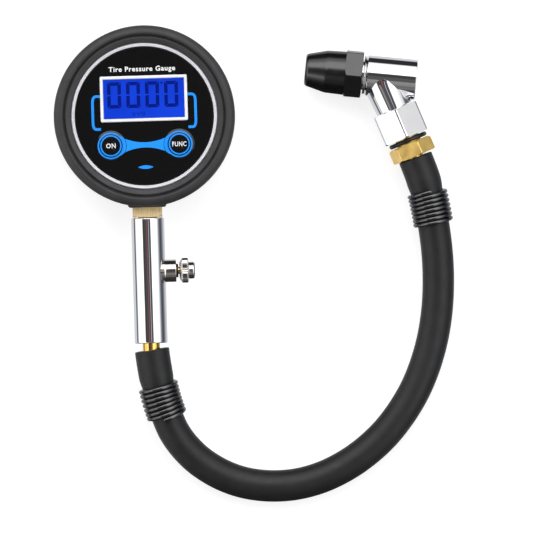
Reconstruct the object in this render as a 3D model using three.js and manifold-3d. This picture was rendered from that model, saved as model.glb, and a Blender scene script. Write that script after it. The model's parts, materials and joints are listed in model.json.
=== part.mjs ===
// Digital tyre pressure gauge: a booted head, a valve barrel with a bleed button, a hose and an angled chuck.
//
// Millimetres, +Z up. The gauge lies on its back: the dial faces +Z and the barrel runs along -Y.
// The origin is the centre of the boot's flat back. Turned pieces are drawn as [radius, height] outlines
// about the Y axis, anticlockwise, and are then laid along the axis they belong to.

import * as THREE from 'three';
import { mergeVertices } from 'three/addons/utils/BufferGeometryUtils.js';
import Module from 'manifold-3d';

const wasm = await Module();
wasm.setup();

// ---------------------------------------------------------------- driving dimensions

const GAP = 0.3; // clearance between neighbouring pieces
const THROUGH = 60; // length of a cutter that has to pass right through
const WELD = 1e-3; // points closer than this are one point
const BITE = 1; // how far a solid or a cutter runs into the one it joins

const FINE = 36; // sides of the large round pieces
const ROUND = 16; // sides of the barrel and chuck pieces
const SMALL = 8; // sides of small round pieces
const HEX = 6;
const CORNER_STEPS = 2; // facets of a small rounded corner
const ROUNDING_STEPS = 4; // facets of a large rounding
const O_RING_SIDES = 4; // facets round an O-ring's section

// boot
const BOOT_RADIUS = 40;
const BOOT_FLOOR = 2.5;
const BOOT_BACK_RADIUS = 33.5;
const BOOT_BACK_EDGE = 6; // rounding between the back and the side
const BOOT_BACK_START = -75; // degrees, where that rounding leaves the back
const BAND_ROUNDING = 3.6; // rounding of the raised front band
const BAND_TOP = 32.6;
const BAND_GROOVE_RADIUS = 35.6;
const BAND_GROOVE_TOP = 31.4;
const LIP_RADIUS = 32.3;
const LIP_ROUNDING = 1.3;
const LIP_START = 60; // degrees, where the lip's rounding leaves the band's groove
const LIP_TOP = 32.2;
const LIP_UNDERSIDE = 30.2;
const BACK_GROOVE = { inner: 22, outer: 26, depth: 0.9, slope: 0.8 };
const COLLAR = { width: 17.4, corner: 2.4, end: 40.6 }; // end: from the head's axis to the collar's face

// case
const CASE_RADIUS = BOOT_RADIUS - 6.3;
const CASE_WALL = 2;
const CASE_BACK = BOOT_FLOOR + GAP;
const CASE_FLOOR = 5.8;
const CASE_TOP = 25.3;
const HOUSING_TOP = 27.9;
const HOUSING_GAP = 0.6; // clearance in the front housing's openings

// face
const FACE_BASE = HOUSING_TOP + GAP;
const FACE_TOP = 30.3;
const RING_INNER = 30.7;
const RING_OUTER = 32;
const RING_TOP = 31.4;
const RING_FLANGE_TOP = LIP_UNDERSIDE - GAP;
const RING_EDGE = 0.4;

// display
const DISPLAY = { y: 7.7, width: 38.5, height: 20.2, corner: 0.8 };
const WINDOW = { width: 35.7, height: 17.2 };
const FRAME_TOP = 31;
const GLASS = { base: 27.2, top: 29.8 };
const BACKLIGHT = { width: 38, height: 20, base: 25.2, top: 26.9 };

// keys
const KEY = { x: 15.1, y: -12.8, radius: 6.7, base: 28.5, edge: 30.3, crown: 31, stemRadius: 2, stemEnd: 26.8 };
const KEY_DOME_STEPS = 2;
const KEY_SIDES = { on: -1, func: 1 };
const SWITCH = { size: 6, base: 23.5, top: 25.3, buttonRadius: 1.6, buttonTop: 26.3 };

// circuit board
const BOARD = { radius: 30.9, base: 21.6, top: 23.2, notchWidth: 18, notchStart: -25.5 };
const BOSS = { x: 20, y: 18, radius: 2.6, holeRadius: 1.1, holeBottom: 16 };
const BOARD_SCREW = { shank: 0.8, head: 2, end: 16.6, base: BOARD.top + GAP, top: 24.6 };
const CHIP = { x: 0, y: -14, size: 9, thickness: 1.2 };

// batteries, size AAA
const CELL = { radius: 5.25, length: 43.3, nubRadius: 1.9, nubLength: 1.2, spacing: 11.4 };
const CELL_HEIGHT = CASE_FLOOR + GAP + CELL.radius;
const CONTACT = { x: 22.6, thickness: 0.5, width: 20, base: 6.5, top: 16 };
const COVER = { width: 51, height: 27, top: 4.6, tabWidth: 8, tabEnd: 20.5, lip: 2.2 };
const COVER_SCREW = { y: 17, shank: 1, head: 2.3, headTop: 3.6, end: 6.8, recess: 3.8 };

// stem and barrel, on one axis at this height
const AXIS_HEIGHT = 17;
const STEM_WIDTH = 13;
const STEM = { top: -34.2, sensorEnd: -26.9, spigot: 4.2, barrelEnd: -53, bore: 1.5, chamfer: 1.4 };
const STEM_NUT = { radius: 7.5, from: -30.3, to: -27.5 };
const SENSOR = { radius: 4.2, from: -25.3, step: -21, to: -18.6, neck: 2.6 };
const SENSOR_O_RING = { inner: 2, outer: 3.8 };
const BARREL = { radius: 7.3, top: -44.9, topBoreEnd: -54, bottom: -100.4, chamfer: 0.6, passage: 2 };
const COUNTERBORE = { radius: 6, depth: 1.8 };
const NECK_O_RING = { radius: 5.22, section: 0.5, at: BARREL.top - COUNTERBORE.depth / 2 };
const NIPPLE = { spigot: 3.6, collar: 3.85, top: -91.3, end: -102.4, bore: 1.5 };

// bleed valve, on an axis along +X that crosses the barrel
const BLEED_Y = -68.6;
const BLEED_TRAVEL = 1.2;
const BLEED_CHAMBER = { radius: 4, end: -4.9 };
const BLEED_BOSS = { radius: 4.95, end: 12, spigot: 3.7, spigotEnd: 3.3, bore: 1.9, seat: 3.3, seatDepth: 1.5 };
const BUSHING = { radius: 3, from: 10.8, to: 12.9 };
const BLEED_STEM = { radius: 1.6, head: 3.4, from: 0.6, headTop: 1.6, to: 18.2 };
const BLEED_SEAL = { from: 1.9, to: 3 };
const BUTTON = { from: BLEED_BOSS.end + BLEED_TRAVEL + 0.2, rim: 14.7, shoulder: 17.4, to: 20.3 };
const BUTTON_RADII = { back: 4, rim: 5.5, cap: 3.75, recess: 3.4, edge: 0.8, chamfer: 0.4 };
const BUTTON_RECESS_END = 15.4;
const BLEED_SPRING = { radius: 2.7, wire: 0.6, from: -4.3, to: 0, turns: 4 };
const SPRING_SIDES = 4;
const SPRING_STEPS_PER_TURN = 10;

// hose and the coiled guards on it
const HOSE_DIAMETER = 14;
const HOSE_SIDES = 10;
const HOSE_STEPS = 40;
const HOSE_TENSION = 0.5; // of the smooth curve through the route's points
const GUARD = { start: 15.2, length: 16, radius: 9, wire: 1.7, turns: 7, sides: 4, stepsPerTurn: 12 };
const HOSE_ROUTE = [
  [0.2, -103.3, 17],
  [0.9, -109.5, 16.8],
  [2.3, -118.5, 16.2],
  [4.7, -128.5, 15],
  [9.2, -140.4, 12.8],
  [16.9, -150.5, 10.5],
  [26.4, -157.8, 8.8],
  [37.1, -162.7, 7.7],
  [48.7, -165, 7.2],
  [60.7, -164.9, 7.1],
  [72.3, -162.4, 7.1],
  [83.3, -157.7, 7.1],
  [93.3, -151.3, 7.1],
  [102.3, -143.4, 7.1],
  [109.9, -134.2, 7.1],
  [116.2, -124.1, 7.1],
  [121, -113.2, 7.1],
  [124.5, -101.8, 7.1],
  [126.7, -90.1, 7.3],
  [127.7, -78.2, 7.8],
  [127.7, -66.3, 8.6],
  [126.7, -54.4, 9.6],
  [125, -42.8, 10.5],
  [122.4, -31.4, 11.2],
  [119.1, -21.7, 11.55],
];

// chuck: two axes that cross at one point, the head's towards the mouth and the stem's towards the hose
const CHUCK_CROSSING = [104.9, 14.5, 11.55];
const MOUTH_DIRECTION = 173; // degrees from +X
const HOSE_DIRECTION = -68.6;
const CHUCK_BODY = { radius: 8.9, back: -15.8, front: 6.2, edge: 0.5, spigot: 6.6, spigotEnd: 13.4 };
const CHUCK_BORE = { spring: 4.8, springEnd: 8, passage: 2.5, passageEnd: -9 };
const CHUCK_STEM = { root: 9, rounding: 1.5, tip: 8.3, length: 15.5, spigot: 6, spigotEnd: 23.8 };
const THREAD_RING = { outer: 8.5, from: 6.5, to: 7.7 };
const NOSE = { hex: 11.4, from: 8.2, hexEnd: 15.9, taper: 24.3, to: 33.6, rear: 9.6, middle: 9.3, tip: 6.9 };
const NOSE_HEX_TURN = -5; // degrees
const NOSE_EDGE = 0.6;
const NOSE_BORE = { thread: 6.9, threadEnd: 14, chamber: 6, chamberEnd: 25.3, mouth: 4.4 };
const VALVE_SEAL = { inner: 2.2, outer: 5.7, from: 22.3, to: 25 };
const PLUNGER = { radius: 1.4, from: 10.5, flange: 4.5, flangeFrom: 18.8, flangeTo: 19.4, to: 27.5 };
const PLUNGER_SPRING = { radius: 3.4, wire: 0.7, from: 8.7, to: 18.1, turns: 5 };

// swivel joint between the chuck and the hose fitting, as distances along the stem's axis
const SWIVEL_NUT = { radius: 11.5, from: 15.85, to: 29.4, chamfer: 0.7, bore: 6.3, lip: 5.8 };
const SWIVEL_POCKET = { radius: 7.2, from: 24.6, to: 28.4 };
const SNAP_RING = { inner: 5.2, outer: 6.9, from: 26.2, to: 27 };
const SWIVEL_O_RING = { radius: 7.9, section: 0.95, at: 30.75 };
const FITTING = { hex: 10.1, from: 32.1, to: 38.5, spigot: 5.5, groove: 4.9, spigotEnd: 25, bore: 2 };
const FITTING_CROWN = { lowerInset: 1.5, lowerRise: 0.75, upperInset: 0.75, upperRise: 0.4 };
const FITTING_HEX_TURN = -21; // degrees

// ---------------------------------------------------------------- materials

const finish = (color, roughness, metalness = 0) => ({ color, roughness, metalness });
const RUBBER = finish(0x3c3c3e, 0.75);
const BLACK_PLASTIC = finish(0x161618, 0.45);
const BLACK_GLOSS = finish(0x0b0b0c, 0.12);
const SILVER = finish(0xdedce4, 0.3, 0.4);
const WHITE_PLASTIC = finish(0xf0f2f5, 0.35);
const DISPLAY_BLUE = finish(0x1446eb, 0.1);
const CHROME = finish(0xe6e6e8, 0.08, 1);
const NICKEL = finish(0xc8c5c0, 0.25, 1);
const BRASS = finish(0xc79a4c, 0.32, 1);
const STEEL = finish(0xa8aaad, 0.35, 1);
const BOARD_GREEN = finish(0x14532d, 0.5);
const BLACK_STEEL = finish(0x1b1b1d, 0.25, 0.7);

// ---------------------------------------------------------------- solids

function welded(geometry) {
  const bare = geometry.clone();
  bare.deleteAttribute('normal');
  bare.deleteAttribute('uv');
  const merged = mergeVertices(bare, WELD);
  const corners = Array.from(merged.index.array);
  const kept = [];
  for (let i = 0; i < corners.length; i += 3) {
    const [a, b, c] = corners.slice(i, i + 3);
    if (a !== b && b !== c && c !== a) kept.push(a, b, c);
  }
  merged.setIndex(kept);
  return merged;
}

function toSolid(geometry) {
  const merged = welded(geometry);
  const vertProperties = new Float32Array(merged.attributes.position.array);
  const triVerts = new Uint32Array(merged.index.array);
  return new wasm.Manifold(new wasm.Mesh({ numProp: 3, vertProperties, triVerts }));
}

function toGeometry(solid) {
  const mesh = solid.getMesh();
  const geometry = new THREE.BufferGeometry();
  geometry.setAttribute('position', new THREE.BufferAttribute(new Float32Array(mesh.vertProperties), 3));
  geometry.setIndex(Array.from(mesh.triVerts));
  geometry.computeVertexNormals();
  return geometry;
}

function combine(method, first, others) {
  let solid = toSolid(first);
  for (const other of others) solid = solid[method](toSolid(other));
  return toGeometry(solid);
}

const join = (first, ...others) => combine('add', first, others);
const cut = (first, ...others) => combine('subtract', first, others);
const overlap = (first, ...others) => combine('intersect', first, others);

// ---------------------------------------------------------------- shapes

function turned(outline, sides = ROUND) {
  const points = outline.map(([radius, height]) => new THREE.Vector2(radius, height));
  return new THREE.LatheGeometry(points, sides);
}

function arc(centreRadius, centreHeight, size, fromDegrees, toDegrees, steps) {
  const points = [];
  for (let i = 0; i <= steps; i += 1) {
    const angle = THREE.MathUtils.degToRad(fromDegrees + ((toDegrees - fromDegrees) * i) / steps);
    points.push([centreRadius + size * Math.cos(angle), centreHeight + size * Math.sin(angle)]);
  }
  return points;
}

function rod(radius, from, to, sides = ROUND, chamfer = 0) {
  const lower = chamfer ? [[radius - chamfer, from], [radius, from + chamfer]] : [[radius, from]];
  const upper = chamfer ? [[radius, to - chamfer], [radius - chamfer, to]] : [[radius, to]];
  return turned([[0, from], ...lower, ...upper, [0, to]], sides);
}

function ring(inner, outer, from, to, sides = ROUND) {
  return turned([[inner, from], [outer, from], [outer, to], [inner, to], [inner, from]], sides);
}

function block(width, depth, height, x, y, z) {
  return new THREE.BoxGeometry(width, depth, height).translate(x, y, z);
}

function slab(width, height, base, top, y, corner = 0) {
  return new THREE.ExtrudeGeometry(roundedRectangle(width, height, corner), {
    depth: top - base,
    bevelEnabled: false,
    curveSegments: CORNER_STEPS,
  }).translate(0, y, base);
}

function roundedRectangle(width, height, corner) {
  const shape = new THREE.Shape();
  const x = width / 2;
  const y = height / 2;
  shape.moveTo(corner - x, -y);
  shape.lineTo(x - corner, -y);
  if (corner) shape.absarc(x - corner, corner - y, corner, -Math.PI / 2, 0);
  shape.lineTo(x, y - corner);
  if (corner) shape.absarc(x - corner, y - corner, corner, 0, Math.PI / 2);
  shape.lineTo(corner - x, y);
  if (corner) shape.absarc(corner - x, y - corner, corner, Math.PI / 2, Math.PI);
  shape.lineTo(-x, corner - y);
  if (corner) shape.absarc(corner - x, corner - y, corner, Math.PI, 1.5 * Math.PI);
  return shape;
}

function swept(curve, radius, sides, steps) {
  const section = new THREE.Shape();
  for (let i = 0; i < sides; i += 1) {
    const angle = (2 * Math.PI * i) / sides;
    const corner = [radius * Math.cos(angle), radius * Math.sin(angle)];
    if (i === 0) section.moveTo(...corner);
    else section.lineTo(...corner);
  }
  return new THREE.ExtrudeGeometry(section, { steps, extrudePath: curve, bevelEnabled: false });
}

// a right-handed helix wound about a stretch of another curve
class Helix extends THREE.Curve {
  constructor(path, fromLength, toLength, radius, turns) {
    super();
    Object.assign(this, { path, fromLength, toLength, radius, turns });
    this.pathLength = path.getLength();
  }

  getPoint(t, target = new THREE.Vector3()) {
    const along = (this.fromLength + (this.toLength - this.fromLength) * t) / this.pathLength;
    const tangent = this.path.getTangentAt(along);
    const side = new THREE.Vector3(0, 0, 1).cross(tangent).normalize();
    const up = tangent.clone().cross(side);
    const angle = 2 * Math.PI * this.turns * t;
    target.copy(this.path.getPointAt(along));
    target.addScaledVector(side, this.radius * Math.cos(angle));
    return target.addScaledVector(up, this.radius * Math.sin(angle));
  }
}

const alongX = (geometry) => geometry.rotateZ(-Math.PI / 2);
const alongZ = (geometry) => geometry.rotateX(Math.PI / 2);
const towards = (degrees) => (geometry) => geometry.rotateZ(THREE.MathUtils.degToRad(degrees - 90));
const towardsMouth = towards(MOUTH_DIRECTION);
const towardsHose = towards(HOSE_DIRECTION);

// ---------------------------------------------------------------- scene graph

const gauge = new THREE.Group();
const head = new THREE.Group();
const barrel = new THREE.Group();
const bleed = new THREE.Group();
const chuck = new THREE.Group();
barrel.position.set(0, 0, AXIS_HEIGHT);
bleed.position.set(0, BLEED_Y, 0);
chuck.position.set(...CHUCK_CROSSING);
barrel.add(bleed);
gauge.add(head, barrel, chuck);

function place(group, name, geometry, look) {
  const mesh = new THREE.Mesh(geometry, new THREE.MeshStandardMaterial(look));
  mesh.name = name;
  group.add(mesh);
}

// ---------------------------------------------------------------- boot

function makeBoot() {
  const sideRadius = BOOT_RADIUS - BOOT_BACK_EDGE;
  const bandRadius = BOOT_RADIUS - BAND_ROUNDING;
  const cup = turned([
    [0, 0],
    [BACK_GROOVE.inner, 0],
    [BACK_GROOVE.inner + BACK_GROOVE.slope, BACK_GROOVE.depth],
    [BACK_GROOVE.outer - BACK_GROOVE.slope, BACK_GROOVE.depth],
    [BACK_GROOVE.outer, 0],
    [BOOT_BACK_RADIUS, 0],
    ...arc(sideRadius, BOOT_BACK_EDGE, BOOT_BACK_EDGE, BOOT_BACK_START, 0, ROUNDING_STEPS),
    ...arc(bandRadius, BAND_TOP - BAND_ROUNDING, BAND_ROUNDING, 0, 90, ROUNDING_STEPS),
    [BAND_GROOVE_RADIUS, BAND_GROOVE_TOP],
    ...arc(LIP_RADIUS + LIP_ROUNDING, LIP_TOP - LIP_ROUNDING, LIP_ROUNDING, LIP_START, 180, ROUNDING_STEPS),
    [LIP_RADIUS, LIP_UNDERSIDE],
    [CASE_RADIUS + GAP, LIP_UNDERSIDE],
    [CASE_RADIUS + GAP, BOOT_FLOOR],
    [0, BOOT_FLOOR],
  ], FINE);
  const collar = slab(COLLAR.width, COLLAR.width, CASE_RADIUS + CASE_WALL, COLLAR.end, 0, COLLAR.corner);
  const openingWidth = STEM_WIDTH + 2 * GAP;
  const opening = block(openingWidth, THROUGH, openingWidth, 0, -(CASE_RADIUS + THROUGH) / 2, 0);
  const boot = join(alongZ(cup), alongZ(collar).translate(0, 0, AXIS_HEIGHT));
  return cut(boot, opening.translate(0, 0, AXIS_HEIGHT));
}

place(head, 'rubber_boot', makeBoot(), RUBBER);

// ---------------------------------------------------------------- case and its contents

const bossPlaces = [];
for (const x of [-BOSS.x, BOSS.x]) {
  for (const y of [-BOSS.y, BOSS.y]) bossPlaces.push([x, y]);
}

// the battery cover's outline, grown by a margin
function coverSolid(margin, base, top) {
  const plate = slab(COVER.width + 2 * margin, COVER.height + 2 * margin, base, top, 0);
  const tabLength = COVER.tabEnd + margin;
  const tab = slab(COVER.tabWidth + 2 * margin, tabLength, base, top, tabLength / 2);
  return join(plate, tab);
}

function makeRearCase() {
  const inner = CASE_RADIUS - CASE_WALL;
  const shell = turned([
    [0, CASE_BACK],
    [CASE_RADIUS, CASE_BACK],
    [CASE_RADIUS, CASE_TOP],
    [inner, CASE_TOP],
    [inner, CASE_FLOOR],
    [0, CASE_FLOOR],
  ], FINE);
  const bosses = bossPlaces.map(([x, y]) =>
    alongZ(rod(BOSS.radius, CASE_FLOOR - BITE, BOARD.base - GAP, SMALL)).translate(x, y, 0));
  const bossHoles = bossPlaces.map(([x, y]) =>
    alongZ(rod(BOSS.holeRadius, BOSS.holeBottom, CASE_TOP, SMALL)).translate(x, y, 0));
  const hatchWidth = COVER.width - 2 * COVER.lip;
  const hatchHeight = COVER.height - 2 * COVER.lip;
  return cut(
    join(alongZ(shell), ...bosses),
    ...bossHoles,
    coverSolid(GAP, 0, COVER.top + GAP),
    slab(hatchWidth, hatchHeight, 0, CELL_HEIGHT, 0),
    alongZ(rod(COVER_SCREW.shank + GAP, 0, CELL_HEIGHT, SMALL)).translate(0, COVER_SCREW.y, 0),
    rod(STEM.spigot + GAP, -THROUGH, -CASE_RADIUS / 2).translate(0, 0, AXIS_HEIGHT),
  );
}

function makeCover() {
  return cut(
    coverSolid(0, CASE_BACK, COVER.top),
    alongZ(rod(COVER_SCREW.shank + GAP, 0, CELL_HEIGHT, SMALL)).translate(0, COVER_SCREW.y, 0),
    alongZ(rod(COVER_SCREW.head + GAP, 0, COVER_SCREW.recess, SMALL)).translate(0, COVER_SCREW.y, 0),
  );
}

function makeCell(direction) {
  const end = CELL.length / 2;
  const cell = turned([
    [0, -end],
    [CELL.radius, -end],
    [CELL.radius, end],
    [CELL.nubRadius, end],
    [CELL.nubRadius, end + CELL.nubLength],
    [0, end + CELL.nubLength],
  ], SMALL);
  const centred = alongX(cell).translate(-CELL.nubLength / 2, 0, 0);
  if (direction < 0) centred.rotateZ(Math.PI);
  return centred.translate(0, (direction * CELL.spacing) / 2, CELL_HEIGHT);
}

function makeContact(side) {
  const height = CONTACT.top - CONTACT.base;
  const x = side * (CONTACT.x + CONTACT.thickness / 2);
  return block(CONTACT.thickness, CONTACT.width, height, x, 0, CONTACT.base + height / 2);
}

function makeBoard() {
  const board = alongZ(rod(BOARD.radius, BOARD.base, BOARD.top, FINE));
  const holes = bossPlaces.map(([x, y]) =>
    alongZ(rod(BOSS.holeRadius, 0, THROUGH, SMALL)).translate(x, y, 0));
  const notch = block(BOARD.notchWidth, THROUGH, THROUGH, 0, BOARD.notchStart - THROUGH / 2, BOARD.base);
  return cut(board, ...holes, notch);
}

function makeBoardScrew(x, y) {
  const { shank, head: headRadius, end, base, top } = BOARD_SCREW;
  const outline = [[0, end], [shank, end], [shank, base], [headRadius, base], [headRadius, top], [0, top]];
  return alongZ(turned(outline, SMALL)).translate(x, y, 0);
}

function makeCoverScrew() {
  const { shank, head: headRadius, headTop, end } = COVER_SCREW;
  const outline = [
    [0, CASE_BACK],
    [headRadius, CASE_BACK],
    [headRadius, headTop],
    [shank, headTop],
    [shank, end],
    [0, end],
  ];
  return alongZ(turned(outline, SMALL)).translate(0, COVER_SCREW.y, 0);
}

function makeSwitch(side) {
  const body = block(SWITCH.size, SWITCH.size, SWITCH.top - SWITCH.base, 0, 0, (SWITCH.top + SWITCH.base) / 2);
  const button = alongZ(rod(SWITCH.buttonRadius, SWITCH.base, SWITCH.buttonTop, SMALL));
  return join(body, button).translate(side * KEY.x, KEY.y, 0);
}

place(head, 'rear_case', makeRearCase(), BLACK_PLASTIC);
place(head, 'battery_cover', makeCover(), BLACK_PLASTIC);
place(head, 'cover_screw', makeCoverScrew(), STEEL);
place(head, 'battery_upper', makeCell(1), STEEL);
place(head, 'battery_lower', makeCell(-1), STEEL);
place(head, 'battery_contact_left', makeContact(-1), NICKEL);
place(head, 'battery_contact_right', makeContact(1), NICKEL);
place(head, 'circuit_board', makeBoard(), BOARD_GREEN);
bossPlaces.forEach(([x, y], i) => place(head, `board_screw_${i + 1}`, makeBoardScrew(x, y), STEEL));
place(
  head,
  'controller_chip',
  block(CHIP.size, CHIP.size, CHIP.thickness, CHIP.x, CHIP.y, BOARD.top + GAP + CHIP.thickness / 2),
  BLACK_PLASTIC,
);

// ---------------------------------------------------------------- front housing, face and display

function keyHole(radius, side) {
  return alongZ(rod(radius, 0, THROUGH, ROUND)).translate(side * KEY.x, KEY.y, 0);
}

function makeFrontHousing() {
  const disc = alongZ(rod(CASE_RADIUS, CASE_TOP + GAP, HOUSING_TOP, FINE));
  const width = DISPLAY.width + 2 * HOUSING_GAP;
  const window = slab(width, DISPLAY.height + 2 * HOUSING_GAP, 0, THROUGH, DISPLAY.y);
  const holes = Object.values(KEY_SIDES).map((side) => keyHole(KEY.stemRadius + HOUSING_GAP, side));
  return cut(disc, window, ...holes);
}

function makeFaceplate() {
  const disc = alongZ(rod(RING_INNER - GAP, FACE_BASE, FACE_TOP, FINE));
  const window = slab(DISPLAY.width + 2 * GAP, DISPLAY.height + 2 * GAP, 0, THROUGH, DISPLAY.y, DISPLAY.corner);
  const holes = Object.values(KEY_SIDES).map((side) => keyHole(KEY.radius + GAP, side));
  return cut(disc, window, ...holes);
}

function makeBezelRing() {
  return alongZ(turned([
    [RING_INNER, FACE_BASE],
    [CASE_RADIUS, FACE_BASE],
    [CASE_RADIUS, RING_FLANGE_TOP],
    [RING_OUTER, RING_FLANGE_TOP],
    [RING_OUTER, RING_TOP - RING_EDGE],
    [RING_OUTER - RING_EDGE, RING_TOP],
    [RING_INNER + RING_EDGE, RING_TOP],
    [RING_INNER, RING_TOP - RING_EDGE],
    [RING_INNER, FACE_BASE],
  ], FINE));
}

function makeDisplayFrame() {
  const outer = slab(DISPLAY.width, DISPLAY.height, FACE_BASE, FRAME_TOP, DISPLAY.y, DISPLAY.corner);
  return cut(outer, slab(WINDOW.width, WINDOW.height, 0, THROUGH, DISPLAY.y));
}

function makeKey(side) {
  const dome = [];
  for (let i = 0; i <= KEY_DOME_STEPS; i += 1) {
    const share = 1 - i / KEY_DOME_STEPS;
    dome.push([KEY.radius * share, KEY.crown - (KEY.crown - KEY.edge) * share ** 2]);
  }
  const key = turned([
    [0, KEY.stemEnd],
    [KEY.stemRadius, KEY.stemEnd],
    [KEY.stemRadius, KEY.base],
    [KEY.radius, KEY.base],
    ...dome,
  ], ROUND);
  return alongZ(key).translate(side * KEY.x, KEY.y, 0);
}

place(head, 'front_housing', makeFrontHousing(), BLACK_PLASTIC);
place(head, 'faceplate', makeFaceplate(), BLACK_GLOSS);
place(head, 'bezel_ring', makeBezelRing(), SILVER);
place(head, 'lcd_frame', makeDisplayFrame(), WHITE_PLASTIC);
place(
  head,
  'lcd_glass',
  slab(WINDOW.width - 2 * GAP, WINDOW.height - 2 * GAP, GLASS.base, GLASS.top, DISPLAY.y),
  DISPLAY_BLUE,
);
place(
  head,
  'backlight_plate',
  slab(BACKLIGHT.width, BACKLIGHT.height, BACKLIGHT.base, BACKLIGHT.top, DISPLAY.y),
  WHITE_PLASTIC,
);
for (const [name, side] of Object.entries(KEY_SIDES)) {
  place(head, `${name}_key`, makeKey(side), BLACK_GLOSS);
  place(head, `${name}_switch`, makeSwitch(side), BLACK_PLASTIC);
}

// ---------------------------------------------------------------- stem, sensor and barrel

function makeStem() {
  const length = STEM.top - BARREL.top - GAP;
  const bar = block(STEM_WIDTH, length, STEM_WIDTH, 0, STEM.top - length / 2, 0);
  const lowerEnd = STEM.top - length;
  const corner = STEM_WIDTH / Math.SQRT2;
  const chamfered = turned([
    [0, lowerEnd],
    [corner - STEM.chamfer, lowerEnd],
    [corner + GAP, lowerEnd + STEM.chamfer],
    [corner + GAP, STEM.top],
    [0, STEM.top],
  ], FINE);
  const spigots = rod(STEM.spigot, STEM.barrelEnd, STEM.sensorEnd);
  return cut(join(overlap(bar, chamfered), spigots), rod(STEM.bore, -THROUGH, 0, SMALL));
}

function makeSensor() {
  const { radius, from, step, to, neck } = SENSOR;
  return turned([[0, from], [radius, from], [radius, step], [neck, step], [neck, to], [0, to]]);
}

function makeBarrel() {
  const { radius, top, topBoreEnd, bottom, chamfer, passage } = BARREL;
  const topBore = STEM.spigot + GAP;
  const bottomBore = NIPPLE.spigot + GAP;
  const tube = turned([
    [bottomBore, bottom],
    [radius - chamfer, bottom],
    [radius, bottom + chamfer],
    [radius, top - chamfer],
    [radius - chamfer, top],
    [COUNTERBORE.radius, top],
    [COUNTERBORE.radius, top - COUNTERBORE.depth],
    [topBore, top - COUNTERBORE.depth],
    [topBore, topBoreEnd],
    [passage, topBoreEnd],
    [passage, NIPPLE.top + GAP],
    [bottomBore, NIPPLE.top + GAP],
    [bottomBore, bottom],
  ]);
  const chamber = alongX(rod(BLEED_CHAMBER.radius, BLEED_CHAMBER.end, THROUGH)).translate(0, BLEED_Y, 0);
  return cut(tube, chamber);
}

function makeNipple() {
  const { spigot, collar, top, end, bore } = NIPPLE;
  const collarTop = BARREL.bottom - GAP;
  return turned([
    [bore, end],
    [collar, end],
    [collar, collarTop],
    [spigot, collarTop],
    [spigot, top],
    [bore, top],
    [bore, end],
  ]);
}

place(barrel, 'gauge_stem', makeStem(), BRASS);
place(
  barrel,
  'stem_nut',
  cut(rod(STEM_NUT.radius, STEM_NUT.from, STEM_NUT.to, HEX), rod(STEM.spigot + GAP, -THROUGH, 0)),
  BRASS,
);
place(
  barrel,
  'sensor_o_ring',
  ring(SENSOR_O_RING.inner, SENSOR_O_RING.outer, STEM.sensorEnd + GAP, SENSOR.from - GAP),
  RUBBER,
);
place(barrel, 'pressure_sensor', makeSensor(), STEEL);
place(
  barrel,
  'neck_o_ring',
  new THREE.TorusGeometry(NECK_O_RING.radius, NECK_O_RING.section, O_RING_SIDES, ROUND)
    .rotateX(Math.PI / 2)
    .translate(0, NECK_O_RING.at, 0),
  RUBBER,
);
place(barrel, 'valve_body', makeBarrel(), CHROME);
place(barrel, 'hose_nipple', makeNipple(), BRASS);

// ---------------------------------------------------------------- bleed valve

function makeBleedBoss() {
  const { radius, end, spigot, spigotEnd, bore, seat, seatDepth } = BLEED_BOSS;
  const outside = cut(alongX(rod(radius, 0, end)), rod(BARREL.radius + GAP, -THROUGH, THROUGH));
  return cut(
    join(outside, alongX(rod(spigot, spigotEnd, end - BITE))),
    alongX(rod(bore, 0, THROUGH, SMALL)),
    alongX(rod(seat, end - seatDepth, THROUGH)),
  );
}

function makeBleedStem() {
  const { radius, head: headRadius, from, headTop, to } = BLEED_STEM;
  return alongX(turned([
    [0, from],
    [headRadius, from],
    [headRadius, headTop],
    [radius, headTop],
    [radius, to],
    [0, to],
  ]));
}

function makeButton() {
  const { from, rim, shoulder, to } = BUTTON;
  const { back, rim: rimRadius, cap, recess, edge, chamfer } = BUTTON_RADII;
  const socket = BLEED_STEM.radius + GAP;
  const socketEnd = BLEED_STEM.to + GAP;
  return alongX(turned([
    [recess, from],
    [back, from],
    [rimRadius, rim],
    [rimRadius, shoulder - chamfer],
    [rimRadius - chamfer, shoulder],
    [cap, shoulder],
    ...arc(cap - edge, to - edge, edge, 0, 90, CORNER_STEPS),
    [0, to],
    [0, socketEnd],
    [socket, socketEnd],
    [socket, BUTTON_RECESS_END],
    [recess, BUTTON_RECESS_END],
    [recess, from],
  ]));
}

function makeCoil({ from, to, radius, wire, turns }) {
  const axis = new THREE.LineCurve3(new THREE.Vector3(0, from, 0), new THREE.Vector3(0, to, 0));
  const helix = new Helix(axis, 0, to - from, radius, turns);
  return swept(helix, wire / 2, SPRING_SIDES, turns * SPRING_STEPS_PER_TURN);
}

place(bleed, 'bleed_boss', makeBleedBoss(), NICKEL);
place(
  bleed,
  'bleed_bushing',
  alongX(ring(BLEED_BOSS.bore, BUSHING.radius, BUSHING.from, BUSHING.to)),
  NICKEL,
);
place(bleed, 'bleed_stem', makeBleedStem(), BRASS);
place(
  bleed,
  'bleed_seal',
  alongX(ring(BLEED_BOSS.bore, BLEED_STEM.head, BLEED_SEAL.from, BLEED_SEAL.to)),
  RUBBER,
);
place(bleed, 'bleed_button', makeButton(), NICKEL);
place(bleed, 'bleed_spring', alongX(makeCoil(BLEED_SPRING)), STEEL);

// ---------------------------------------------------------------- hose and guards

const route = new THREE.CatmullRomCurve3(
  HOSE_ROUTE.map((point) => new THREE.Vector3(...point)), false, 'catmullrom', HOSE_TENSION,
);
const hoseLength = route.getLength();

function makeGuard(from) {
  const radius = GUARD.radius - GUARD.wire / 2;
  const helix = new Helix(route, from, from + GUARD.length, radius, GUARD.turns);
  return swept(helix, GUARD.wire / 2, GUARD.sides, GUARD.turns * GUARD.stepsPerTurn);
}

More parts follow.
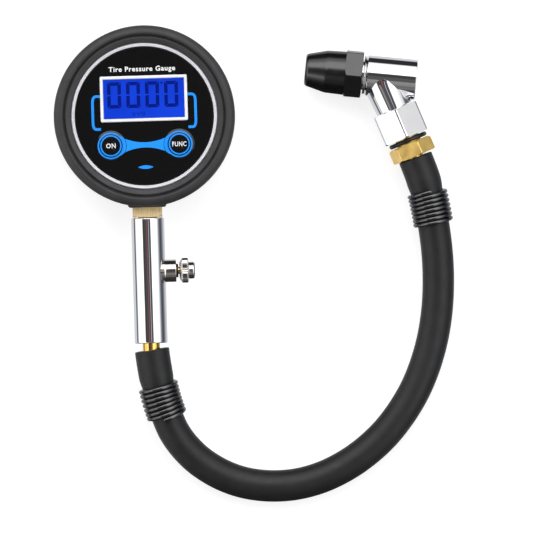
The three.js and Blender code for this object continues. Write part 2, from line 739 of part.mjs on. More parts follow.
place(gauge, 'hose', swept(route, HOSE_DIAMETER / 2, HOSE_SIDES, HOSE_STEPS), RUBBER);
place(gauge, 'spring_guard_near', makeGuard(GUARD.start), BLACK_STEEL);
place(gauge, 'spring_guard_far', makeGuard(hoseLength - GUARD.start - GUARD.length), BLACK_STEEL);

// ---------------------------------------------------------------- swivel

function makeFitting() {
  const { hex, from, to, spigot, groove, spigotEnd, bore } = FITTING;
  const { lowerInset, lowerRise, upperInset, upperRise } = FITTING_CROWN;
  const crowned = turned([
    [0, from],
    [hex - lowerInset, from],
    [hex, from + lowerRise],
    [hex, to - upperRise],
    [hex - upperInset, to],
    [0, to],
  ]);
  const turn = THREE.MathUtils.degToRad(FITTING_HEX_TURN);
  const hexBar = overlap(rod(hex, from, to, HEX), crowned).rotateY(turn);
  const neck = turned([
    [0, spigotEnd],
    [spigot, spigotEnd],
    [spigot, SNAP_RING.from - GAP],
    [groove, SNAP_RING.from - GAP],
    [groove, SNAP_RING.to + GAP],
    [spigot, SNAP_RING.to + GAP],
    [spigot, from + BITE],
    [0, from + BITE],
  ]);
  return cut(join(hexBar, neck), rod(bore, 0, THROUGH, SMALL));
}

function makeSwivelNut() {
  const { radius, from, to, chamfer, bore, lip } = SWIVEL_NUT;
  return cut(
    overlap(rod(radius, from, to, HEX), rod(radius, from, to, FINE, chamfer)),
    rod(bore, 0, SWIVEL_POCKET.from + BITE),
    rod(SWIVEL_POCKET.radius, SWIVEL_POCKET.from, SWIVEL_POCKET.to),
    rod(lip, SWIVEL_POCKET.from, THROUGH),
  );
}

place(chuck, 'hose_fitting', towardsHose(makeFitting()), BRASS);
place(
  chuck,
  'swivel_o_ring',
  towardsHose(
    new THREE.TorusGeometry(SWIVEL_O_RING.radius, SWIVEL_O_RING.section, O_RING_SIDES, ROUND)
      .rotateX(Math.PI / 2)
      .translate(0, SWIVEL_O_RING.at, 0),
  ),
  RUBBER,
);
place(
  chuck,
  'snap_ring',
  towardsHose(ring(SNAP_RING.inner, SNAP_RING.outer, SNAP_RING.from, SNAP_RING.to)),
  STEEL,
);
place(chuck, 'swivel_nut', towardsHose(makeSwivelNut()), CHROME);

// ---------------------------------------------------------------- chuck

function makeChuckBody() {
  const { radius, back, front, edge, spigot, spigotEnd } = CHUCK_BODY;
  const { root, rounding, tip, length, spigot: stemSpigot, spigotEnd: stemEnd } = CHUCK_STEM;
  const barrelPart = turned([
    [0, back],
    [radius - edge, back],
    [radius, back + edge],
    [radius, front],
    [spigot, front],
    [spigot, spigotEnd],
    [0, spigotEnd],
  ]);
  const stem = turned([
    [0, 0],
    [root - rounding, 0],
    [root, CHUCK_BODY.radius / 2],
    [tip, length],
    [stemSpigot, length],
    [stemSpigot, stemEnd],
    [0, stemEnd],
  ]);
  const beyondFront = rod(THROUGH, front, THROUGH);
  const trimmedStem = cut(towardsHose(stem), towardsMouth(beyondFront));
  return cut(
    join(towardsMouth(barrelPart), trimmedStem),
    towardsMouth(rod(CHUCK_BORE.spring, CHUCK_BORE.springEnd, THROUGH)),
    towardsMouth(rod(CHUCK_BORE.passage, CHUCK_BORE.passageEnd, THROUGH, SMALL)),
    towardsHose(rod(CHUCK_BORE.passage, 0, THROUGH, SMALL)),
  );
}

function makeNose() {
  const { hex, from, hexEnd, taper, to, rear, middle, tip } = NOSE;
  const turn = THREE.MathUtils.degToRad(NOSE_HEX_TURN);
  const hexBar = overlap(rod(hex, from, hexEnd, HEX), rod(hex, from, hexEnd, FINE, NOSE_EDGE)).rotateY(turn);
  const sleeve = turned([
    [0, from + BITE],
    [rear, from + BITE],
    [rear, hexEnd],
    [middle, taper],
    [tip, to - NOSE_EDGE],
    [tip - NOSE_EDGE, to],
    [0, to],
  ]);
  return cut(
    join(hexBar, sleeve),
    rod(NOSE_BORE.thread, 0, NOSE_BORE.threadEnd),
    rod(NOSE_BORE.chamber, NOSE_BORE.threadEnd - BITE, NOSE_BORE.chamberEnd),
    rod(NOSE_BORE.mouth, NOSE_BORE.chamberEnd - BITE, THROUGH),
  );
}

function makePlunger() {
  const { radius, from, flange, flangeFrom, flangeTo, to } = PLUNGER;
  return turned([
    [0, from],
    [radius, from],
    [radius, flangeFrom],
    [flange, flangeFrom],
    [flange, flangeTo],
    [radius, flangeTo],
    [radius, to],
    [0, to],
  ], SMALL);
}

place(chuck, 'chuck_body', makeChuckBody(), CHROME);
place(
  chuck,
  'nose_thread_ring',
  towardsMouth(ring(CHUCK_BODY.spigot + GAP, THREAD_RING.outer, THREAD_RING.from, THREAD_RING.to)),
  CHROME,
);
place(chuck, 'chuck_nose', towardsMouth(makeNose()), BLACK_GLOSS);
place(
  chuck,
  'valve_seal',
  towardsMouth(ring(VALVE_SEAL.inner, VALVE_SEAL.outer, VALVE_SEAL.from, VALVE_SEAL.to)),
  RUBBER,
);
place(chuck, 'depressor_pin', towardsMouth(makePlunger()), BRASS);
place(chuck, 'plunger_spring', towardsMouth(makeCoil(PLUNGER_SPRING)), STEEL);

export default gauge;
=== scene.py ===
import json
import math
from itertools import pairwise

import bmesh
import bpy
from mathutils import Matrix, Vector


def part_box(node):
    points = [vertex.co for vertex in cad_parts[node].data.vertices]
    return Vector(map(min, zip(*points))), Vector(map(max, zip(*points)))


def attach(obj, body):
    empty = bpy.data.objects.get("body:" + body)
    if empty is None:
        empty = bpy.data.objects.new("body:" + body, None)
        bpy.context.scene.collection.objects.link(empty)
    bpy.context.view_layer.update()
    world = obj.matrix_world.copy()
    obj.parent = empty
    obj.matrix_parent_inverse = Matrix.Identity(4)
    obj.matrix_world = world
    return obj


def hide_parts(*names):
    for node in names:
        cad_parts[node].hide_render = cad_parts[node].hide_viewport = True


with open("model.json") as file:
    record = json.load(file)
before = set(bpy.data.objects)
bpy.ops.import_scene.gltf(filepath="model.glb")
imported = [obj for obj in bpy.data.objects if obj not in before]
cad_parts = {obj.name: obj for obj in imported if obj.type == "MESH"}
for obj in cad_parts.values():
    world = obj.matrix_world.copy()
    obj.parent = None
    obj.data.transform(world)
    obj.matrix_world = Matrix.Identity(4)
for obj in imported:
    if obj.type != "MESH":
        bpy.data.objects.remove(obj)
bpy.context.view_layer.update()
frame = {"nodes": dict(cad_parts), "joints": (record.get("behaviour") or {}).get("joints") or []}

# Shapes are worked out in millimetres in the row frame, and turned to metres when a piece is finished.
MM = 0.001
UP = Vector((0, 0, 1))
scene = bpy.context.scene

# ------------ places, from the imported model

joints = {joint["name"]: joint for joint in frame["joints"]}


def middle(node):
    """The middle of a CAD node's box, in millimetres."""
    low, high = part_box(node)
    return (low + high) / 2 / MM


def top_of(node):
    """The height of a CAD node's highest point, in millimetres."""
    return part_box(node)[1].z / MM


AXIS_HEIGHT = middle("gauge_stem").z
BLEED_Y = middle("bleed_boss").y
CROSSING = Vector(joints["chuck_swivel"]["pos_m"]) / MM
TOWARDS_HOSE = Vector(joints["chuck_swivel"]["axis"])
TOWARDS_MOUTH = -Vector(joints["depressor_press"]["axis"])

KEY_X, KEY_Y = middle("func_key").xy
DISPLAY_Y = middle("lcd_glass").y
FACE_TOP = top_of("faceplate")
GLASS_TOP = top_of("lcd_glass")
KEY_CROWN = top_of("func_key")
KEY_EDGE, KEY_RADIUS = 30.3, 6.7

# the hose's route and the guards on it, the same as in the CAD part
HOSE_ROUTE = [
    (0.2, -103.3, 17), (0.9, -109.5, 16.8), (2.3, -118.5, 16.2), (4.7, -128.5, 15), (9.2, -140.4, 12.8),
    (16.9, -150.5, 10.5), (26.4, -157.8, 8.8), (37.1, -162.7, 7.7), (48.7, -165, 7.2), (60.7, -164.9, 7.1),
    (72.3, -162.4, 7.1), (83.3, -157.7, 7.1), (93.3, -151.3, 7.1), (102.3, -143.4, 7.1), (109.9, -134.2, 7.1),
    (116.2, -124.1, 7.1), (121, -113.2, 7.1), (124.5, -101.8, 7.1), (126.7, -90.1, 7.3), (127.7, -78.2, 7.8),
    (127.7, -66.3, 8.6), (126.7, -54.4, 9.6), (125, -42.8, 10.5), (122.4, -31.4, 11.2), (119.1, -21.7, 11.55),
]
HOSE_RADIUS = 7.0
HOSE_SWELL = 0.65
HOSE_SWELL_LENGTH = 11.6
HOSE_TAPER = 6
HOSE_BORE, HOSE_BORE_DEPTH = 4.0, 6.0
HOSE_SIDES, HOSE_STEP = 56, 1.6
HOSE_SLANT, HOSE_SLANT_LENGTH = 0.15, 12
# how far back from a cut end its rim is drawn in, and by how much
HOSE_RIM = ((0, 0.35), (0.1, 0.12), (0.3, 0))
GUARD_START, GUARD_LENGTH = 15.2, 16
GUARD_RADIUS, GUARD_WIRE = 9.0, 1.8
GUARD_TURNS, GUARD_END = 7.4, math.radians(100)
GUARD_SIDES, GUARD_STEPS_PER_TURN = 14, 44
GUARD_CAP = 0.7


class Axis:
    """A line that shapes are turned about. Angles start at the axis's upper side."""

    def __init__(self, origin, direction, up=UP):
        self.origin = Vector(origin)
        self.direction = Vector(direction).normalized()
        up = Vector(up)
        self.up = (up - up.dot(self.direction) * self.direction).normalized()
        self.side = self.direction.cross(self.up)

    def at(self, radius, height, angle):
        around = self.up * math.cos(angle) + self.side * math.sin(angle)
        return self.origin + self.direction * height + around * radius


HEAD = Axis((0, 0, 0), UP, (0, 1, 0))
BARREL = Axis((0, 0, AXIS_HEIGHT), (0, -1, 0))
BLEED = Axis((0, BLEED_Y, AXIS_HEIGHT), (1, 0, 0))
MOUTH = Axis(CROSSING, TOWARDS_MOUTH)
SWIVEL = Axis(CROSSING, TOWARDS_HOSE)


def placed(name, data):
    """A new object in the scene, with that data."""
    obj = bpy.data.objects.new(name, data)
    scene.collection.objects.link(obj)
    return obj


# ------------ camera

# the camera looks straight down through a long lens, at a square of that width and centre
VIEW_CENTRE = Vector((51.9, -68.0))
VIEW_WIDTH = 235.6
VIEW_TURN = math.radians(-1.7)
LENS, SENSOR_WIDTH = 900, 36
FAR_CLIP = 20


def make_camera():
    data = bpy.data.cameras.new("camera")
    data.lens = LENS
    data.sensor_width = SENSOR_WIDTH
    data.clip_end = FAR_CLIP
    distance = VIEW_WIDTH * LENS / SENSOR_WIDTH
    camera = placed("camera", data)
    camera.location = Vector((*VIEW_CENTRE, AXIS_HEIGHT + distance)) * MM
    camera.rotation_euler = (0, 0, VIEW_TURN)
    scene.camera = camera


make_camera()

# ------------ outlines and meshes

# a corner blunter than this stays as it is
BLUNT = math.radians(168)
# two rounded corners leave a little of the edge between them
EDGE_SHARE = 0.45
BEVEL_ANGLE = math.radians(40)
PRINT_THICKNESS = 0.05
ON_AXIS = 1e-6


def softened(outline, size, closed=False, steps=4):
    """The outline with its corners rounded off, by at most that size."""
    points = [Vector(p) for p in outline]
    last = len(points) - 1
    rounded = []
    for i, corner in enumerate(points):
        if not closed and i in (0, last):
            rounded.append(corner)
            continue
        before = points[i - 1] - corner
        after = points[(i + 1) % len(points)] - corner
        turn = before.normalized().dot(after.normalized())
        if turn < math.cos(BLUNT):
            rounded.append(corner)
            continue
        start = corner + before.normalized() * min(size, EDGE_SHARE * before.length)
        end = corner + after.normalized() * min(size, EDGE_SHARE * after.length)
        for k in range(steps + 1):
            t = k / steps
            rounded.append((1 - t) ** 2 * start + 2 * t * (1 - t) * corner + t * t * end)
    return rounded


def arc(centre, size, from_degrees, to_degrees, steps):
    points = []
    for k in range(steps + 1):
        angle = math.radians(from_degrees + (to_degrees - from_degrees) * k / steps)
        points.append((centre[0] + size * math.cos(angle), centre[1] + size * math.sin(angle)))
    return points


def solid(points, faces):
    """A new object with that closed surface, in millimetres."""
    mesh = bpy.data.meshes.new("solid")
    mesh.from_pydata([tuple(p) for p in points], [], faces)
    tidy = bmesh.new()
    tidy.from_mesh(mesh)
    bmesh.ops.remove_doubles(tidy, verts=tidy.verts, dist=1e-5)
    bmesh.ops.recalc_face_normals(tidy, faces=tidy.faces)
    tidy.to_mesh(mesh)
    tidy.free()
    return placed("solid", mesh)


def loft(rings, closed=False):
    """A surface through rings of equally many points. A ring of one point closes an end."""
    points, starts = [], []
    for ring in rings:
        starts.append(len(points))
        points.extend(ring)
    sides = max(len(ring) for ring in rings)
    pairs = list(pairwise(range(len(rings))))
    if closed:
        pairs.append((len(rings) - 1, 0))
    faces = []
    for low, high in pairs:
        for i in range(sides):
            j = (i + 1) % sides
            corners = []
            for ring, k in ((low, i), (low, j), (high, j), (high, i)):
                corner = starts[ring] + k % len(rings[ring])
                if corner not in corners:
                    corners.append(corner)
            if len(corners) > 2:
                faces.append(corners)
    return solid(points, faces)


def turned(outline, axis, sides=96, shape=None):
    """A surface of revolution, whose radius a shape(radius, angle) may change.

    An outline that doesn't start and end on the axis closes on itself.
    """
    rings = []
    for radius, height in outline:
        if radius < ON_AXIS:
            rings.append([axis.at(0, height, 0)])
            continue
        ring = []
        for i in range(sides):
            angle = math.tau * i / sides
            ring.append(axis.at(shape(radius, angle) if shape else radius, height, angle))
        rings.append(ring)
    return loft(rings, closed=len(rings[0]) > 1)


def prism(outline, start, end, axis):
    """A straight bar with that outline, given as (towards the axis's side, towards its upper side)."""
    rings = []
    for height in (start, end):
        base = axis.origin + axis.direction * height
        rings.append([base + axis.side * x + axis.up * y for x, y in outline])
    return loft([[axis.at(0, start, 0)], *rings, [axis.at(0, end, 0)]])


def hexagon(radius, turn, edge):
    """A hexagon with one corner turned that many degrees from the axis's upper side."""
    corners = []
    for i in range(6):
        angle = math.radians(turn + 60 * i)
        corners.append((radius * math.sin(angle), radius * math.cos(angle)))
    return softened(corners, edge, closed=True)


def rectangle(width, height, corner, x=0, y=0):
    right, top = width / 2, height / 2
    corners = [(-right, -top), (right, -top), (right, top), (-right, top)]
    return [(p[0] + x, p[1] + y) for p in softened(corners, corner, closed=True, steps=6)]


def flat(outline, base, top):
    """A plate with that outline, between two heights."""
    return prism([(-x, y) for x, y in outline], base, top, HEAD)


def baked(obj):
    """The object with its modifiers made real."""
    depsgraph = bpy.context.evaluated_depsgraph_get()
    mesh = bpy.data.meshes.new_from_object(obj.evaluated_get(depsgraph))
    obj.modifiers.clear()
    obj.data = mesh
    return obj


def combined(first, second, operation):
    modifier = first.modifiers.new("combine", "BOOLEAN")
    modifier.operation = operation
    modifier.solver = "EXACT"
    modifier.object = second
    baked(first)
    bpy.data.objects.remove(second)
    return first


def joined(first, *others):
    for other in others:
        combined(first, other, "UNION")
    return first


def cut(first, *others):
    for other in others:
        combined(first, other, "DIFFERENCE")
    return first


def overlap(first, second):
    return combined(first, second, "INTERSECT")


def bevelled(obj, width, segments=2):
    modifier = obj.modifiers.new("edges", "BEVEL")
    modifier.width = width
    modifier.segments = segments
    modifier.limit_method = "ANGLE"
    modifier.angle_limit = BEVEL_ANGLE
    return baked(obj)


def together(parts):
    """Several separate solids as one object."""
    shared = bmesh.new()
    for part in parts:
        shared.from_mesh(part.data)
    first = parts[0]
    shared.to_mesh(first.data)
    shared.free()
    for part in parts[1:]:
        bpy.data.objects.remove(part)
    return first


def plate_strip(rows, surface, closed=False):
    """A thin raised print: rows of points across it, laid on a surface of height surface(x, y)."""
    across = len(rows[0])
    points = []
    for height in (PRINT_THICKNESS, -PRINT_THICKNESS):
        for row in rows:
            points.extend((x, y, surface(x, y) + height) for x, y in row)
    under = across * len(rows)
    pairs = list(pairwise(range(len(rows))))
    if closed:
        pairs.append((len(rows) - 1, 0))
    faces = []
    for first, second in pairs:
        for j in range(across - 1):
            a, b = first * across + j, second * across + j
            faces.append((a, a + 1, b + 1, b))
            faces.append((under + a, under + b, under + b + 1, under + a + 1))
        for j in (0, across - 1):
            a, b = first * across + j, second * across + j
            faces.append((a, b, under + b, under + a))
    if not closed:
        for row in (0, len(rows) - 1):
            for j in range(across - 1):
                a = row * across + j
                faces.append((a, a + 1, under + a + 1, under + a))
    return solid(points, faces)


def add_piece(name, obj, look, body, stands_for=(), sharp=30):
    """Finishes a shape as a named piece of the object."""
    obj.name = name
    obj.data.name = name
    obj.data.transform(Matrix.Scale(MM, 4))
    obj.data.shade_smooth()
    obj.data.set_sharp_from_angle(angle=math.radians(sharp))
    modifier = obj.modifiers.new("flat faces stay flat", "WEIGHTED_NORMAL")
    modifier.keep_sharp = True
    baked(obj)
    obj.data.materials.clear()
    obj.data.materials.append(look.material)
    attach(obj, body)
    if stands_for:
        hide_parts(*stands_for)
    return obj


# ------------ procedural materials

# nearly all of a noise's values lie between these two
NOISE_SPAN = 0.3, 0.7


class Look:
    """A procedural material in object space, built on one Principled surface."""

    def __init__(self, name, **inputs):
        self.material = bpy.data.materials.new(name)
        self.material.use_nodes = True
        self.nodes = self.material.node_tree.nodes
        self.links = self.material.node_tree.links
        self.nodes.clear()
        self.surface = self.nodes.new("ShaderNodeBsdfPrincipled")
        output = self.nodes.new("ShaderNodeOutputMaterial")
        self.links.new(self.surface.outputs["BSDF"], output.inputs["Surface"])
        self.place = self.nodes.new("ShaderNodeTexCoord").outputs["Object"]
        for key, value in inputs.items():
            socket = self.surface.inputs[key.replace("_", " ")]
            socket.default_value = (*value, 1) if isinstance(value, tuple) else value

    def stretched(self, along, ratio):
        """Coordinates in which noise is drawn out along a direction."""
        turn = self.nodes.new("ShaderNodeVectorRotate")
        turn.rotation_type = "AXIS_ANGLE"
        turn.inputs["Axis"].default_value = (0, 0, 1)
        turn.inputs["Angle"].default_value = -math.atan2(along[1], along[0])
        self.links.new(self.place, turn.inputs["Vector"])
        scale = self.nodes.new("ShaderNodeVectorMath")
        scale.operation = "MULTIPLY"
        scale.inputs[1].default_value = (ratio, 1, 1)
        self.links.new(turn.outputs["Vector"], scale.inputs[0])
        return scale.outputs["Vector"]

    def noise(self, feature, detail=3, place=None):
        """Noise from 0 to 1 with features of about that many millimetres."""
        node = self.nodes.new("ShaderNodeTexNoise")
        node.inputs["Scale"].default_value = 1 / (feature * MM)
        node.inputs["Detail"].default_value = detail
        self.links.new(place or self.place, node.inputs["Vector"])
        return node.outputs["Fac"]

    def ranged(self, factor, low, high):
        node = self.nodes.new("ShaderNodeMapRange")
        node.inputs["From Min"].default_value, node.inputs["From Max"].default_value = NOISE_SPAN
        node.inputs["To Min"].default_value = low
        node.inputs["To Max"].default_value = high
        self.links.new(factor, node.inputs["Value"])
        return node.outputs["Result"]

    def tint(self, factor, low, high, socket="Base Color"):
        """A colour of the surface runs between two colours with the factor."""
        node = self.nodes.new("ShaderNodeValToRGB")
        for element, position, color in zip(node.color_ramp.elements, NOISE_SPAN, (low, high)):
            element.position = position
            element.color = (*color, 1)
        self.links.new(factor, node.inputs["Fac"])
        self.links.new(node.outputs["Color"], self.surface.inputs[socket])
        return self

    def rough(self, factor, low, high):
        self.links.new(self.ranged(factor, low, high), self.surface.inputs["Roughness"])
        return self

    def bump(self, factor, height):
        """Surface relief of that height in millimetres, on top of any earlier one."""
        node = self.nodes.new("ShaderNodeBump")
        node.inputs["Strength"].default_value = 1
        node.inputs["Distance"].default_value = height * MM
        self.links.new(factor, node.inputs["Height"])
        socket = self.surface.inputs["Normal"]
        if socket.links:
            self.links.new(socket.links[0].from_socket, node.inputs["Normal"])
        self.links.new(node.outputs["Normal"], socket)
        return self


def shade(color, share):
    return tuple(channel * share for channel in color)


def rubber(name, color, roughness, grain, specular=0.4, ior=1.5):
    look = Look(name, Specular_IOR_Level=specular, IOR=ior)
    look.tint(look.noise(7), shade(color, 0.85), shade(color, 1.15))
    look.rough(look.noise(2.5), roughness - 0.05, roughness + 0.07)
    look.bump(look.noise(9, 1), 0.05)
    return look.bump(look.noise(0.5), grain)


def plastic(name, color, roughness, specular=0.5, grain=0.01, ior=1.5):
    look = Look(name, Specular_IOR_Level=specular, IOR=ior)
    look.tint(look.noise(6), shade(color, 0.93), shade(color, 1.05))
    look.rough(look.noise(3), roughness, roughness * 1.25)
    return look.bump(look.noise(1.2), grain)


def metal(name, color, roughness, marks, wave=0.0, metallic=1.0, brushed=None, tone=0.9):
    """Metal with fine marks, drawn out along a brushed direction, and long soft waves in its plating."""
    look = Look(name, Metallic=metallic)
    if brushed:
        streaks = look.noise(0.22, 3, look.stretched(brushed, 0.03))
        look.tint(streaks, shade(color, tone), shade(color, 2 - tone))
        look.rough(streaks, roughness * 0.8, roughness * 1.3)
        look.bump(streaks, marks)
    else:
        look.tint(look.noise(5), shade(color, tone), color)
        look.rough(look.noise(4), roughness * 0.8, roughness * 1.4)
        look.bump(look.noise(0.4), marks)
    if wave:
        look.bump(look.noise(11, 1), wave)
    return look


boot_rubber = rubber("boot rubber", (0.031, 0.031, 0.032), 0.5, 0.018)
hose_rubber = rubber("hose rubber", (0.0105, 0.0105, 0.011), 0.45, 0.012, specular=0.36)
seal_rubber = rubber("seal rubber", (0.012, 0.012, 0.012), 0.35, 0.004)
guard_steel = rubber("guard lacquer", (0.005, 0.005, 0.0055), 0.15, 0.003, specular=0.85, ior=1.65)
case_plastic = plastic("case plastic", (0.02, 0.02, 0.021), 0.4)
face_gloss = plastic("face gloss", (0.0045, 0.0045, 0.0048), 0.09, grain=0.0006)
white_plastic = plastic("white plastic", (0.83, 0.84, 0.86), 0.35)
white_ink = plastic("white ink", (0.86, 0.87, 0.88), 0.5, grain=0.002)
blue_ink = plastic("blue ink", (0.010, 0.29, 0.95), 0.5, specular=0.2, grain=0.002)
nose_black = plastic("nose black", (0.002, 0.002, 0.0022), 0.2, specular=0.66, grain=0.003, ior=1.6)
bezel_silver = metal("bezel silver", (0.74, 0.73, 0.765), 0.42, metallic=0.25, marks=0.002, tone=0.96)
chrome = metal("chrome", (0.86, 0.86, 0.87), 0.035, wave=0.03, marks=0.0004, tone=0.98)
satin_chrome = metal("satin chrome", (0.84, 0.84, 0.85), 0.14, wave=0.05, marks=0.001, tone=0.97)
nickel = metal("nickel", (0.66, 0.62, 0.58), 0.09, brushed=(0, 1), marks=0.0008, tone=0.85)
tan_brass = metal(
    "tan brass", (0.93, 0.715, 0.385), 0.46, metallic=0.55, brushed=(0, 1), marks=0.006, tone=0.8,
)
gold_brass = metal("gold brass", (0.93, 0.60, 0.16), 0.13, marks=0.001)
sandy_brass = metal("sandy brass", (1.0, 0.685, 0.205), 0.33, metallic=0.72, marks=0.012)
steel = metal("steel", (0.45, 0.45, 0.46), 0.3, marks=0.003)
board_green = plastic("board lacquer", (0.01, 0.09, 0.03), 0.35)
cell_jacket = plastic("cell jacket", (0.10, 0.11, 0.13), 0.3)
black_clip = plastic("black clip", (0.006, 0.006, 0.006), 0.3)


def glowing(name, color, glow):
    """The dark plastic of a display's figures, with some of the backlight coming through."""
    look = plastic(name, color, 0.2, specular=0.1, grain=0.0005)
    look.surface.inputs["Emission Color"].default_value = (*glow, 1)
    look.surface.inputs["Emission Strength"].default_value = 1
    return look


display_segment = glowing("display segment", (0.0004, 0.002, 0.02), (0.0008, 0.009, 0.21))
faint_segment = glowing("faint segment", (0.0008, 0.004, 0.04), (0.001, 0.018, 0.34))
display_blue = plastic("display blue", (0.001, 0.004, 0.06), 0.12, specular=0.3, grain=0.0005)
display_blue.tint(display_blue.noise(12, 1), (0.004, 0.044, 0.62), (0.006, 0.058, 0.74), "Emission Color")
display_blue.surface.inputs["Emission Strength"].default_value = 0.95

# ------------ hose and guards


class Route:
    """A smooth curve through points, read by the length along it."""

    STEPS = 16

    def __init__(self, points):
        points = [Vector(p) for p in points]
        points = [2 * points[0] - points[1], *points, 2 * points[-1] - points[-2]]
        self.points = []
        for i in range(1, len(points) - 2):
            a, b, c, d = points[i - 1:i + 3]
            for k in range(self.STEPS):
                t = k / self.STEPS
                self.points.append(0.5 * (2 * b + (c - a) * t + (2 * a - 5 * b + 4 * c - d) * t ** 2
                                          + (3 * b - a - 3 * c + d) * t ** 3))
        self.points.append(points[-2])
        self.lengths = [0.0]
        for a, b in pairwise(self.points):
            self.lengths.append(self.lengths[-1] + (b - a).length)
        self.length = self.lengths[-1]

    def at(self, length):
        """The point that far along. Past either end the line runs straight on."""
        i = 0
        while i < len(self.points) - 2 and self.lengths[i + 1] < length:
            i += 1
        share = (length - self.lengths[i]) / (self.lengths[i + 1] - self.lengths[i])
        return self.points[i].lerp(self.points[i + 1], share)

    def frame(self, length):
        """The point that far along, and the directions along, to the side and up."""
        near = 0.8
        along = (self.at(length + near) - self.at(length - near)).normalized()
        side = UP.cross(along).normalized()
        return self.at(length), along, side, along.cross(side)


route = Route(HOSE_ROUTE)


def smooth_step(t):
    t = max(0.0, min(1.0, t))
    return t * t * (3 - 2 * t)


def hose_radius(length):
    """The hose swells over the barb inside each end."""
    from_end = min(length, route.length - length)
    return HOSE_RADIUS + HOSE_SWELL * (1 - smooth_step((from_end - HOSE_SWELL_LENGTH) / HOSE_TAPER))


def hose_ring(length, radius, slant=0.0):
    """A ring round the hose. A slanted ring leans back on its side nearest the head."""
    centre, along, side, up = route.frame(length)
    ring = []
    for i in range(HOSE_SIDES):
        angle = math.tau * i / HOSE_SIDES
        lean = -slant * math.cos(angle) * radius / HOSE_RADIUS
        ring.append(centre + along * lean + (side * math.cos(angle) + up * math.sin(angle)) * radius)
    return ring


def make_hose():
    start = [[route.at(HOSE_BORE_DEPTH)], hose_ring(HOSE_BORE_DEPTH, HOSE_BORE)]
    start.append(hose_ring(0, HOSE_BORE, HOSE_SLANT))
    end = route.length
    finish = []
    for back, inset in HOSE_RIM:
        start.append(hose_ring(back, hose_radius(0) - inset, HOSE_SLANT))
        finish.insert(0, hose_ring(end - back, hose_radius(0) - inset))
    finish += [hose_ring(end, HOSE_BORE), hose_ring(end - HOSE_BORE_DEPTH, HOSE_BORE)]
    finish.append([route.at(end - HOSE_BORE_DEPTH)])
    body = []
    count = round(route.length / HOSE_STEP)
    for k in range(1, count):
        length = route.length * k / count
        slant = HOSE_SLANT * max(0.0, 1 - length / HOSE_SLANT_LENGTH)
        body.append(hose_ring(length, hose_radius(length), slant))
    return loft([*start, *body, *finish])


def make_guard(start):
    """A coil of round wire wound about the hose, whose last end shows on top."""
    size = GUARD_WIRE / 2
    steps = round(GUARD_TURNS * GUARD_STEPS_PER_TURN)
    points = []
    outward = []
    for k in range(steps + 1):
        t = k / steps
        centre, _, side, up = route.frame(start + size + (GUARD_LENGTH - GUARD_WIRE) * t)
        angle = math.tau * GUARD_TURNS * (t - 1) + GUARD_END
        outward.append(side * math.cos(angle) + up * math.sin(angle))
        points.append(centre + outward[k] * (GUARD_RADIUS - size))

    def heading(k):
        return (points[min(k + 1, steps)] - points[max(k - 1, 0)]).normalized()

    rings = []
    for k, point in enumerate(points):
        along = heading(k)
        across = along.cross(outward[k]).normalized()
        out = across.cross(along)
        ring = []
        for i in range(GUARD_SIDES):
            around = math.tau * i / GUARD_SIDES
            ring.append(point + (out * math.cos(around) + across * math.sin(around)) * size)
        rings.append(ring)

    caps = []
    for k, sense in ((0, -1), (steps, 1)):
        reach = heading(k) * sense * size * GUARD_CAP
        cap = []
        for degrees in (30, 60, 80):
            lean = math.radians(degrees)
            shift = reach * math.sin(lean)
            cap.append([points[k] + (p - points[k]) * math.cos(lean) + shift for p in rings[k]])
        cap.append([points[k] + reach])
        caps.append(cap)
    return loft([*reversed(caps[0]), *rings, *caps[1]])


hose = add_piece("hose_fine", make_hose(), hose_rubber, "gauge", ["hose"])
for name, start in (("near", GUARD_START), ("far", route.length - GUARD_START - GUARD_LENGTH)):
    node = f"spring_guard_{name}"
    add_piece(f"{node}_fine", make_guard(start), guard_steel, "gauge", [node])

# ------------ finishes of the CAD nodes that stay

CAD_LOOKS = {
    case_plastic: ["rear_case", "battery_cover", "front_housing", "controller_chip", "on_switch",
                   "func_switch"],
    steel: ["cover_screw", *(f"board_screw_{n}" for n in range(1, 5)), "pressure_sensor", "bleed_spring",
            "plunger_spring", "snap_ring"],
    cell_jacket: ["battery_upper", "battery_lower"],
    nickel: ["battery_contact_left", "battery_contact_right"],
    board_green: ["circuit_board"],
    white_plastic: ["backlight_plate"],
    tan_brass: ["gauge_stem", "stem_nut"],
    seal_rubber: ["sensor_o_ring", "neck_o_ring", "bleed_seal"],
}
for look, names in CAD_LOOKS.items():
    for name in names:
        materials = frame["nodes"][name].data.materials
        materials.clear()
        materials.append(look.material)

# ------------ head

# where the face and its ring start, and the radius of the keys' holes
FACE_BASE = 28.2
KEY_HOLE = 6.9
# the boot's square collar round the stem
COLLAR_WIDTH, COLLAR_HEIGHT, COLLAR_END = 17, 17.4, 40.3
STEM_OPENING = 13.6


def make_boot():
    outline = [
        (0, 0), (22, 0), (22.8, 0.9), (25.2, 0.9), (26, 0), (33.2, 0), *arc((34, 6), 6, -78, 0, 10),
        *arc((36.6, 29.1), 3.4, 0, 86, 12), (36.3, 32.4), (35.8, 31.75), (35.5, 30.9), (35.2, 30.85),
        (35.0, 31.6), (34.7, 31.95), (32.75, 31.3), (32.35, 30.9), (32.3, 30.2), (34, 30.2), (34, 2.5),
        (0, 2.5),
    ]
    cup = turned(softened(outline, 0.5, steps=3), HEAD, sides=288)
    collar = prism(rectangle(COLLAR_WIDTH, COLLAR_HEIGHT, corner=2.4), 35.7, COLLAR_END, BARREL)
    collar = bevelled(collar, 1.2, segments=3)
    opening = prism(rectangle(STEM_OPENING, STEM_OPENING, corner=0.3), 30, 45, BARREL)
    return cut(joined(cup, collar), opening)


add_piece("rubber_boot_fine", make_boot(), boot_rubber, "gauge", ["rubber_boot"])


